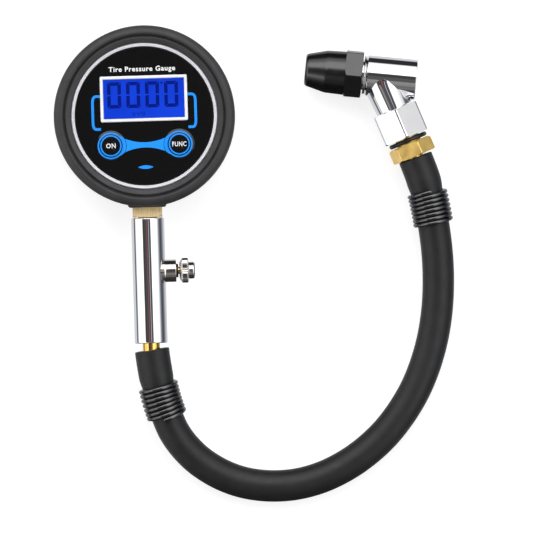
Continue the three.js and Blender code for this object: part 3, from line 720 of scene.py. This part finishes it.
def make_bezel():
    outline = [
        (30.7, FACE_BASE), (33.7, FACE_BASE), (33.7, 29.9), (32.05, 29.9), (32.05, 31.15), (31.9, 31.38),
        (31.45, 31.38), (31.35, 31.1), (31.2, 31.1), (31.1, 31.34), (30.85, 31.3), (30.7, 31.05),
    ]
    return turned(softened(outline, 0.12, closed=True, steps=2), HEAD, sides=256)


add_piece("bezel_ring_fine", make_bezel(), bezel_silver, "gauge", ["bezel_ring"])


def key_axis(side):
    return Axis((side * KEY_X, KEY_Y, 0), UP, (0, 1, 0))


def make_faceplate():
    below, above = 20, 40
    outline = softened([(0, FACE_BASE), (30.4, FACE_BASE), (30.4, FACE_TOP), (0, FACE_TOP)], 0.2)
    window = flat(rectangle(39, 20.7, 0.9, 0, DISPLAY_Y), below, above)
    plate = cut(turned(outline, HEAD, sides=192), window)
    for side in (-1, 1):
        hole = [(0, below), (KEY_HOLE, below), (KEY_HOLE, above), (0, above)]
        plate = cut(plate, turned(hole, key_axis(side), sides=128))
    return plate


add_piece("faceplate_fine", make_faceplate(), face_gloss, "gauge", ["faceplate"])


def make_frame():
    """The raised rim round the display window, swept round a rounded rectangle."""
    section = [(0, FACE_BASE), (1.35, FACE_BASE), (1.35, 30.8), (1.1, 31.0), (0.3, 31.0), (0, 30.8)]
    rings = []
    for inset, height in softened(section, 0.15, closed=True, steps=2):
        corner = max(0.3, 0.8 - inset / 2)
        outline = rectangle(38.5 - 2 * inset, 20.2 - 2 * inset, corner, 0, DISPLAY_Y)
        rings.append([Vector((x, y, height)) for x, y in outline])
    return loft(rings, closed=True)


add_piece("lcd_frame_fine", make_frame(), white_plastic, "gauge", ["lcd_frame"])
glass = bevelled(flat(rectangle(35.5, 17.0, 0.3, 0, DISPLAY_Y), 27.2, GLASS_TOP), 0.12)
add_piece("lcd_glass_fine", glass, display_blue, "gauge", ["lcd_glass"])


def on_glass(x, y):
    return GLASS_TOP


def on_face(x, y):
    return FACE_TOP


def on_key(side):
    """The height of a key's dome."""
    def height(x, y):
        away = math.hypot(x - side * KEY_X, y - KEY_Y) / KEY_RADIUS
        return KEY_CROWN - (KEY_CROWN - KEY_EDGE) * min(away, 1) ** 2
    return height


DIGIT_WIDTH, DIGIT_HEIGHT, DIGIT_PITCH, SEGMENT = 6.1, 11.5, 8.4, 1.5
DIGITS = 4
DIGITS_CENTRE = Vector((-0.45, DISPLAY_Y + 1.7))
DOT_BACK, DOT_DOWN, DOT_WIDTH, DOT_HEIGHT = 1.5, 0.3, 0.8, 0.9


def mirrored(rows, flip_x, flip_y, corner):
    """Rows of points in one figure, turned over within it and moved to its place."""
    moved = []
    for row in rows:
        points = [(DIGIT_WIDTH - x if flip_x else x, DIGIT_HEIGHT - y if flip_y else y) for x, y in row]
        moved.append([(corner.x + x, corner.y + y) for x, y in points])
    return moved


def make_digits():
    """Figures of six dark segments each, and the small square dot before the last."""
    half = DIGIT_HEIGHT / 2
    bevel = SEGMENT * 0.75
    upright = [
        ((0, 0.2), (0.02, 0.2)),
        ((0, 0.3), (SEGMENT, 0.2 + bevel)),
        ((0, half - 0.95), (SEGMENT, half - 0.3)),
        ((0, half - 0.5), (SEGMENT * 0.5, half - 0.28)),
    ]
    across = [
        ((0.4, 0), (0.42, 0.02)),
        ((0.5, 0), (0.55 + bevel, SEGMENT)),
        ((DIGIT_WIDTH - 0.5, 0), (DIGIT_WIDTH - 0.55 - bevel, SEGMENT)),
        ((DIGIT_WIDTH - 0.4, 0), (DIGIT_WIDTH - 0.42, 0.02)),
    ]
    left = DIGITS_CENTRE.x - (DIGITS - 1) / 2 * DIGIT_PITCH - DIGIT_WIDTH / 2
    base = DIGITS_CENTRE.y - half
    parts = []
    for n in range(DIGITS):
        corner = Vector((left + n * DIGIT_PITCH, base))
        for flip_x in (False, True):
            for flip_y in (False, True):
                parts.append(plate_strip(mirrored(upright, flip_x, flip_y, corner), on_glass))
        for flip_y in (False, True):
            parts.append(plate_strip(mirrored(across, False, flip_y, corner), on_glass))
    dot_x = left + (DIGITS - 1) * DIGIT_PITCH - DOT_BACK
    dot_top = base + DIGIT_HEIGHT - DOT_DOWN
    dot = [[(x, dot_top - DOT_HEIGHT), (x, dot_top)] for x in (dot_x, dot_x + DOT_WIDTH)]
    parts.append(plate_strip(dot, on_glass))
    return together(parts)


add_piece("lcd_figures", make_digits(), display_segment, "gauge")


def make_text(words, width, height, x, y, surface, weight=0.0, turn=0.0):
    """Generic lettering as thin solid letters, fitted to a width and height and laid on a surface."""
    rise, sink = 0.06, -0.03
    curve = bpy.data.curves.new("words", "FONT")
    curve.body = words
    curve.size = 10
    curve.offset = weight
    curve.extrude = 0.5
    curve.resolution_u = 3
    curve.space_character = 1.12
    obj = placed("words", curve)
    depsgraph = bpy.context.evaluated_depsgraph_get()
    mesh = bpy.data.meshes.new_from_object(obj.evaluated_get(depsgraph))
    bpy.data.objects.remove(obj)
    xs = [v.co.x for v in mesh.vertices]
    ys = [v.co.y for v in mesh.vertices]
    centre_x, centre_y = (max(xs) + min(xs)) / 2, (max(ys) + min(ys)) / 2
    scale_x, scale_y = width / (max(xs) - min(xs)), height / (max(ys) - min(ys))
    cos, sin = math.cos(math.radians(turn)), math.sin(math.radians(turn))
    for vertex in mesh.vertices:
        across, along = (vertex.co.x - centre_x) * scale_x, (vertex.co.y - centre_y) * scale_y
        px, py = x + across * cos - along * sin, y + across * sin + along * cos
        vertex.co = (px, py, surface(px, py) + (rise if vertex.co.z > 0 else sink))
    return placed("words", mesh)


title = make_text("Tire Pressure Gauge", width=29.4, height=2.9, x=-0.5, y=20.5, surface=on_face, weight=0.25)
add_piece("face_title", title, white_ink, "gauge")
unit = make_text("BAR", width=5.8, height=1.7, x=-2.7, y=DISPLAY_Y - 6.7, surface=on_glass, turn=180)
add_piece("lcd_unit", unit, faint_segment, "gauge")


def bracket(side):
    """A rounded bracket beside the display: a line along a bent path."""
    line = 1.15
    path = softened([(19.0, 9.1), (22.7, 9.1), (22.7, -5.4), (19.3, -5.4)], 3, steps=8)
    rows = []
    for i, point in enumerate(path):
        before, after = path[max(i - 1, 0)], path[min(i + 1, len(path) - 1)]
        along = (after - before).normalized()
        across = Vector((-along.y, along.x)) * line / 2
        rows.append([(side * p.x, p.y) for p in (point + across, point - across)])
    return plate_strip(rows, on_face)


# the band between the keys: half its narrowest width, the radius of its edges, and its spread on a key
WAIST, WAIST_RADIUS, BAND_SPREAD = 1.15, 22.56, math.radians(57.5)
BAND_ON_KEY = (5.6, 6.7)
RING = (5.22, 5.87)
INNER_RING = (4.1, 4.7)
OVAL_Y, OVAL_REACH, OVAL_HALF = -22.6, 3.4, 0.8


def waist(x):
    """Half the width of the band that joins the two keys."""
    return WAIST + WAIST_RADIUS - math.sqrt(WAIST_RADIUS ** 2 - x * x)


def make_band():
    """The part of the joining band that lies on the face, up to the two keys' holes."""
    clear = KEY_HOLE + 0.03
    rows_out, columns_out = 12, 14
    rows = []
    for k in range(2 * rows_out + 1):
        share = k / rows_out - 1
        edge = KEY_X - clear
        for _ in range(12):
            edge = KEY_X - math.sqrt(clear ** 2 - (share * waist(edge)) ** 2)
        xs = [edge * (j / columns_out - 1) for j in range(2 * columns_out + 1)]
        rows.append([(x, KEY_Y + share * waist(x)) for x in xs])
    return plate_strip(rows, on_face)


def make_oval():
    rows = []
    steps_out = 16
    for k in range(2 * steps_out + 1):
        share = k / steps_out - 1
        half = OVAL_HALF * math.cos(share * math.pi / 2) ** 0.9 + 0.01
        rows.append([(OVAL_REACH * share, OVAL_Y - half), (OVAL_REACH * share, OVAL_Y + half)])
    return plate_strip(rows, on_face)


face_print = together([bracket(-1), bracket(1), make_band(), make_oval()])
add_piece("face_print", face_print, blue_ink, "gauge")


def polar_strip(side, inner, outer, from_angle, to_angle, closed=False, steps=96, bands=2):
    """A print on a key, between two radii. Each radius may have its own end angles."""
    rows = []
    for k in range(steps if closed else steps + 1):
        row = []
        for j in range(bands + 1):
            radius = inner + (outer - inner) * j / bands
            spread = from_angle[0] + (from_angle[1] - from_angle[0]) * j / bands
            reach = to_angle[0] + (to_angle[1] - to_angle[0]) * j / bands
            angle = spread + (reach - spread) * k / steps
            row.append((side * (KEY_X - radius * math.cos(angle)), KEY_Y + radius * math.sin(angle)))
        rows.append(row)
    return plate_strip(rows, on_key(side), closed=closed)


def key_edge_meet(radius):
    """The angle at which the joining band's edge meets a circle round a key."""
    low, high = 0.0, math.pi / 2
    for _ in range(40):
        angle = (low + high) / 2
        inside = radius * math.sin(angle) < waist(KEY_X - radius * math.cos(angle))
        low, high = (angle, high) if inside else (low, angle)
    return low


def make_key(side):
    outline = [(0, 26.8), (2, 26.8), (2, 28.5), (6.6, 28.5), (6.75, 28.7), (6.75, 30.25)]
    steps = 11
    for k in range(steps + 1):
        away = 1 - k / steps
        outline.append((KEY_RADIUS * away, KEY_CROWN - (KEY_CROWN - KEY_EDGE) * away ** 2))
    return turned(outline, key_axis(side), sides=128)


WORD_HEIGHT = 2.1

for name, side, words, width in (("on", -1, "ON", 4.2), ("func", 1, "FUNC", 6.3)):
    key = f"{name}_key"
    add_piece(f"{key}_fine", make_key(side), face_gloss, key, [key])
    whole_turn = ((0, 0), (math.tau, math.tau))
    meet = key_edge_meet(KEY_RADIUS)
    prints = together([
        polar_strip(side, *RING, *whole_turn, closed=True),
        polar_strip(side, *INNER_RING, *whole_turn, closed=True),
        polar_strip(side, *BAND_ON_KEY, (-BAND_SPREAD, -meet), (BAND_SPREAD, meet), steps=32, bands=4),
    ])
    add_piece(f"{key}_print", prints, blue_ink, key)
    word = make_text(words, width, WORD_HEIGHT, side * KEY_X, KEY_Y, on_key(side), weight=0.18)
    add_piece(f"{key}_word", word, white_ink, key)

# ------------ barrel and bleed valve

BARREL_RADIUS = 7.3
KNURLS, KNURL_DEPTH, KNURL_START, KNURL_BLEND = 36, 0.22, 4.9, 0.4


def make_barrel():
    outline = [
        (5.9, 44.9), (BARREL_RADIUS, 44.9), (BARREL_RADIUS, 100.4), (4.15, 100.4), (4.15, 97), (5.9, 97),
    ]
    tube = turned(softened(outline, 0.6, closed=True), BARREL, sides=160)
    return cut(tube, turned([(0, 2), (3.9, 2), (3.9, 9), (0, 9)], BLEED, sides=64))


def make_boss():
    outer = [
        (0, 4.4), (5.3, 4.4), (5.2, 6.9), (5.0, 7.3), (4.95, 7.8), (4.95, 12), (3.3, 12), (3.3, 10.5),
        (0, 10.5),
    ]
    barrel = turned([(0, 50), (BARREL_RADIUS, 50), (BARREL_RADIUS, 90), (0, 90)], BARREL, sides=160)
    boss = cut(turned(softened(outer, 0.35), BLEED, sides=96), barrel)
    spigot = turned([(0, 3.3), (3.7, 3.3), (3.7, 9), (0, 9)], BLEED, sides=64)
    bore = turned([(0, 0), (1.9, 0), (1.9, 20), (0, 20)], BLEED, sides=48)
    return cut(joined(boss, spigot), bore)


def make_button():
    outline = softened([
        (3.4, 13.4), (4.0, 13.4), (5.5, 14.7), (5.5, 17.1), (5.1, 17.4), (3.75, 17.4), (3.75, 19.7),
        (3.15, 20.3), (0, 20.3),
    ], 0.35)
    inside = [(0, 18.5), (1.85, 18.5), (1.85, 15.4), (3.4, 15.4), (3.4, 13.4)]

    def knurl(radius, angle):
        grip = max(0.0, min(1.0, (radius - KNURL_START) / KNURL_BLEND))
        return radius - KNURL_DEPTH * grip * (0.5 + 0.5 * math.cos(KNURLS * angle))

    return turned([*inside, *outline[1:]], BLEED, sides=6 * KNURLS, shape=knurl)


add_piece("valve_body_fine", make_barrel(), chrome, "gauge", ["valve_body"])
add_piece("bleed_boss_fine", make_boss(), nickel, "gauge", ["bleed_boss"])
bushing_outline = [(1.9, 10.8), (3.0, 10.8), (3.0, 12.9), (1.9, 12.9)]
bushing = turned(softened(bushing_outline, 0.2, closed=True), BLEED, sides=64)
add_piece("bleed_bushing_fine", bushing, black_clip, "gauge", ["bleed_bushing"])
stem_outline = softened([(0, 0.6), (3.4, 0.6), (3.4, 1.6), (1.6, 1.6), (1.6, 18.2), (0, 18.2)], 0.15)
bleed_stem = turned(stem_outline, BLEED, sides=64)
add_piece("bleed_stem_fine", bleed_stem, gold_brass, "bleed_button", ["bleed_stem"])
add_piece("bleed_button_fine", make_button(), nickel, "bleed_button", ["bleed_button"])
nipple_outline = [(2, 97.5), (3.85, 97.5), (3.85, 108), (3.4, 108.6), (2, 108.6)]
nipple = turned(softened(nipple_outline, 0.2, closed=True), BARREL, sides=96)
add_piece("hose_nipple_fine", nipple, gold_brass, "gauge", ["hose_nipple"])

# ------------ swivel and chuck


def make_fitting():
    crown = softened([(0, 32.1), (8.9, 32.1), (10.15, 33.1), (10.15, 38.1), (9.2, 38.5), (0, 38.5)], 0.4)
    nut = overlap(prism(hexagon(10.1, -21, edge=0.5), 31, 40, SWIVEL), turned(crown, SWIVEL, sides=120))
    neck = [
        (0, 25), (5.5, 25), (5.5, 25.9), (4.9, 25.9), (4.9, 27.3), (5.5, 27.3), (5.5, 35), (3.8, 35),
        (3.8, 43), (0, 43),
    ]
    return joined(nut, turned(neck, SWIVEL, sides=64))


def make_swivel_nut():
    bar = softened([(0, 15.85), (10.8, 15.85), (11.5, 16.5), (11.5, 28.7), (10.8, 29.4), (0, 29.4)], 0.2)
    nut = overlap(prism(hexagon(11.5, 0, edge=0.8), 15, 30, SWIVEL), turned(bar, SWIVEL, sides=120))
    inside = [(0, 15), (6.3, 15), (6.3, 24.6), (7.2, 24.6), (7.2, 28.4), (5.8, 28.4), (5.8, 31), (0, 31)]
    return cut(nut, turned(inside, SWIVEL, sides=64))


def make_o_ring():
    return turned(arc((7.9, 30.75), 0.95, 0, 345, 23), SWIVEL, sides=96)


def make_chuck_body():
    body = turned(softened([
        (0, -15.8), (8.9, -15.8), (8.9, 6.2), (6.6, 6.2), (6.6, 13.4), (0, 13.4),
    ], 0.45), MOUTH, sides=128)
    stem = turned([
        (0, 0), (7.6, 0), (8.75, 0.8), (8.9, 2), (8.98, 3.5), (8.9, 5.5), (8.2, 15.5), (6, 15.5), (6, 23.8),
        (0, 23.8),
    ], SWIVEL, sides=128)
    beyond = turned([(0, 6.2), (60, 6.2), (60, 80), (0, 80)], MOUTH, sides=48)
    stem = cut(stem, beyond)
    bores = [
        turned([(0, -9), (2.5, -9), (2.5, 8), (4.8, 8), (4.8, 30), (0, 30)], MOUTH, sides=48),
        turned([(0, 0), (2.5, 0), (2.5, 40), (0, 40)], SWIVEL, sides=48),
    ]
    return cut(joined(body, stem), *bores)


def make_thread_ring():
    outline = [
        (6.9, 6.5), (8.35, 6.5), (8.5, 6.7), (8.35, 6.95), (7.9, 7.05), (8.3, 7.15), (8.5, 7.4), (8.35, 7.7),
        (6.9, 7.7),
    ]
    return turned(softened(outline, 0.08, closed=True, steps=2), MOUTH, sides=96)


def make_nose():
    bar = softened([(0, 8.2), (10.6, 8.2), (11.4, 9.0), (11.4, 15.2), (10.6, 15.9), (0, 15.9)], 0.3)
    hex_bar = overlap(prism(hexagon(11.4, -5, edge=0.4), 8, 16, MOUTH), turned(bar, MOUTH, sides=120))
    sleeve = [(0, 9.2), (9.6, 9.2), (9.6, 16.4), (9.35, 24.3), (7.1, 32.9), (6.3, 33.6), (0, 33.6)]
    sleeve = turned(softened(sleeve, 0.9), MOUTH, sides=120)
    inside = [
        (0, 5), (6.9, 5), (6.9, 14), (6, 14), (6, 25.3), (4.4, 25.3), (4.4, 32.8), (4.9, 33.6), (4.9, 36),
        (0, 36),
    ]
    return cut(joined(hex_bar, sleeve), turned(softened(inside, 0.2), MOUTH, sides=64))


def make_pin():
    outline = [
        (0, 10.5), (1.4, 10.5), (1.4, 18.8), (4.5, 18.8), (4.5, 19.4), (1.4, 19.4), (1.4, 27.5), (0, 27.5),
    ]
    return turned(softened(outline, 0.2), MOUTH, sides=48)


add_piece("hose_fitting_fine", make_fitting(), sandy_brass, "gauge", ["hose_fitting"])
add_piece("swivel_o_ring_fine", make_o_ring(), seal_rubber, "gauge", ["swivel_o_ring"])
add_piece("swivel_nut_fine", make_swivel_nut(), satin_chrome, "chuck", ["swivel_nut"])
add_piece("chuck_body_fine", make_chuck_body(), chrome, "chuck", ["chuck_body"], sharp=18)
add_piece("nose_thread_ring_fine", make_thread_ring(), chrome, "chuck", ["nose_thread_ring"])
add_piece("chuck_nose_fine", make_nose(), nose_black, "chuck", ["chuck_nose"])
seal_outline = [(2.2, 22.3), (5.7, 22.3), (5.7, 25), (2.2, 25)]
seal = turned(softened(seal_outline, 0.4, closed=True), MOUTH, sides=64)
add_piece("valve_seal_fine", seal, seal_rubber, "chuck", ["valve_seal"])
add_piece("depressor_pin_fine", make_pin(), gold_brass, "depressor", ["depressor_pin"])

# ------------ floor and light

FLOOR_REACH = 3.0
FLOOR_CENTRE = (0.05, -0.07, -0.0002)


def make_floor():
    """A pale floor that shines a little by itself, so that it reads as white card."""
    corners = [(-1, -1), (1, -1), (1, 1), (-1, 1)]
    mesh = bpy.data.meshes.new("floor")
    mesh.from_pydata([(x * FLOOR_REACH, y * FLOOR_REACH, 0) for x, y in corners], [], [(0, 1, 2, 3)])
    floor = placed("floor", mesh)
    floor.location = FLOOR_CENTRE
    look = Look("floor", Roughness=0.9, Specular_IOR_Level=0.0)
    look.tint(look.noise(80), (0.42, 0.42, 0.425), (0.44, 0.44, 0.44))
    look.surface.inputs["Emission Color"].default_value = (1, 1, 1, 1)
    look.surface.inputs["Emission Strength"].default_value = 0.74
    mesh.materials.append(look.material)
    floor.visible_glossy = False


def grey(level):
    return (level,) * 3


# the sky's tones, by degrees down from overhead, towards each side of the object
DARK, LIT, SOFT = grey(0.055), (2.0, 2.0, 2.02), (1.2, 1.2, 1.22)
SLATE, PALE = (0.13, 0.145, 0.17), (0.72, 0.73, 0.76)
RIGHT_SKY = [
    (0, DARK), (16, DARK), (24, LIT), (50, LIT), (57, SOFT), (66, SOFT), (76, (0.42, 0.44, 0.47)),
    (85, SLATE), (108, SLATE), (126, (0.5, 0.51, 0.54)), (145, PALE), (180, PALE),
]
LEFT_SKY = [
    (0, DARK), (36, DARK), (44, LIT), (50, LIT), (57, SOFT), (96, SOFT), (101, SLATE), (112, SLATE),
    (119, PALE), (180, PALE),
]
BACK_SKY = [
    (0, DARK), (15, DARK), (23, grey(3.1)), (55, grey(2.7)), (64, SOFT), (77, SOFT), (84, grey(0.03)),
    (120, grey(0.03)), (128, PALE), (180, PALE),
]
FRONT_SKY = [
    (0, grey(0.1)), (18, grey(0.1)), (24, grey(0.3)), (40, grey(0.26)), (50, grey(0.15)), (60, grey(0.2)),
    (68, grey(0.1)), (80, grey(0.035)), (180, grey(0.035)),
]
PATCH_TONE = (0.84, 0.84, 0.85)
# thin strips overhead, in line with the barrel: where each is across it, its width and its tone
STRIPS = [
    (-0.15, 0.11, (0.23, 0.10, 0.105)),
    (0.07, 0.035, (0.75, 0.75, 0.76)),
    (0.19, 0.09, (0.08, 0.085, 0.14)),
    (-0.36, 0.07, (0.09, 0.09, 0.095)),
]
STRIP_REACH = 0.14
BACKDROP = (0.97, 0.97, 0.98, 1)


class Sky:
    """The light around the object: dark overhead, a bright ring lower down, dark bands near the horizon."""

    def __init__(self):
        world = bpy.data.worlds.new("studio")
        world.use_nodes = True
        scene.world = world
        self.nodes = world.node_tree.nodes
        self.links = world.node_tree.links
        self.nodes.clear()
        coordinates = self.nodes.new("ShaderNodeTexCoord").outputs["Generated"]
        split = self.nodes.new("ShaderNodeSeparateXYZ")
        self.links.new(coordinates, split.inputs[0])
        self.x, self.y, self.z = split.outputs
        self.angle = self.math("DIVIDE", self.math("ARCCOSINE", self.z), math.pi)
        level = self.math("SQRT", self.math("SUBTRACT", 1.0001, self.product(self.z, self.z)))
        self.heading_x = self.math("DIVIDE", self.x, level)
        self.heading_y = self.math("DIVIDE", self.y, level)
        color = self.strips(self.front(self.patch(self.sides_and_back())))

        light = self.nodes.new("ShaderNodeBackground")
        self.links.new(color, light.inputs["Color"])
        backdrop = self.nodes.new("ShaderNodeBackground")
        backdrop.inputs["Color"].default_value = BACKDROP
        chosen = self.nodes.new("ShaderNodeMixShader")
        self.links.new(self.nodes.new("ShaderNodeLightPath").outputs["Is Camera Ray"], chosen.inputs[0])
        self.links.new(light.outputs[0], chosen.inputs[1])
        self.links.new(backdrop.outputs[0], chosen.inputs[2])
        output = self.nodes.new("ShaderNodeOutputWorld")
        self.links.new(chosen.outputs[0], output.inputs["Surface"])

    def sides_and_back(self):
        side = self.math("ADD", self.heading_x, self.heading_y)
        color = self.mix(self.range(side, -0.3, 0.3), self.bands(LEFT_SKY), self.bands(RIGHT_SKY))
        return self.mix(self.range(self.heading_y, 0.55, 0.75), color, self.bands(BACK_SKY))

    def patch(self, color):
        """A greyer patch up and to the right."""
        heading = self.product(self.range(self.heading_y, 0.15, 0.3), self.range(self.heading_x, 0.6, 0.8))
        height = self.product(self.range(self.angle, 0.27, 0.30), self.range(self.angle, 0.43, 0.41))
        return self.mix(self.product(heading, height), color, PATCH_TONE)

    def front(self, color):
        """The side nearest the hose is dark from overhead down to the floor."""
        overhead = self.product(self.range(self.y, -0.12, -0.16), self.range(self.angle, 0.18, 0.16))
        shaded = self.math("MAXIMUM", self.range(self.heading_y, -0.72, -0.84), overhead)
        return self.mix(shaded, color, self.bands(FRONT_SKY))

    def strips(self, color):
        for centre, width, tone in STRIPS:
            factors = [self.range(self.z, 0.5, 0.6)]
            for edge in (-width, width):
                factors.append(self.range(self.x, centre + edge, centre + edge / 3))
            for end in (-STRIP_REACH, STRIP_REACH):
                factors.append(self.range(self.y, end, end * 0.7))
            color = self.mix(self.product(*factors), color, tone)
        return color

    def product(self, first, *others):
        for other in others:
            first = self.math("MULTIPLY", first, other)
        return first

    def math(self, operation, *values):
        node = self.nodes.new("ShaderNodeMath")
        node.operation = operation
        for socket, value in zip(node.inputs, values):
            self.put(value, socket)
        return node.outputs[0]

    def put(self, value, socket):
        if isinstance(value, bpy.types.NodeSocket):
            self.links.new(value, socket)
        elif isinstance(value, tuple):
            socket.default_value = (*value, 1)
        else:
            socket.default_value = value

    def range(self, value, low, high):
        """0 at low and 1 at high, held beyond them."""
        node = self.nodes.new("ShaderNodeMapRange")
        self.links.new(value, node.inputs["Value"])
        if low > high:
            low, high = high, low
            node.inputs["To Min"].default_value, node.inputs["To Max"].default_value = 1, 0
        node.inputs["From Min"].default_value, node.inputs["From Max"].default_value = low, high
        return node.outputs["Result"]

    def bands(self, stops):
        node = self.nodes.new("ShaderNodeValToRGB")
        elements = node.color_ramp.elements
        elements.remove(elements[1])
        elements[0].color = (*stops[0][1], 1)
        for degrees, color in stops[1:]:
            elements.new(degrees / 180).color = (*color, 1)
        self.links.new(self.angle, node.inputs["Fac"])
        return node.outputs["Color"]

    def mix(self, factor, first, second):
        node = self.nodes.new("ShaderNodeMix")
        node.data_type = "RGBA"
        self.put(factor, node.inputs[0])
        self.put(first, node.inputs[6])
        self.put(second, node.inputs[7])
        return node.outputs[2]


make_floor()
Sky()
scene.view_settings.view_transform = "Standard"
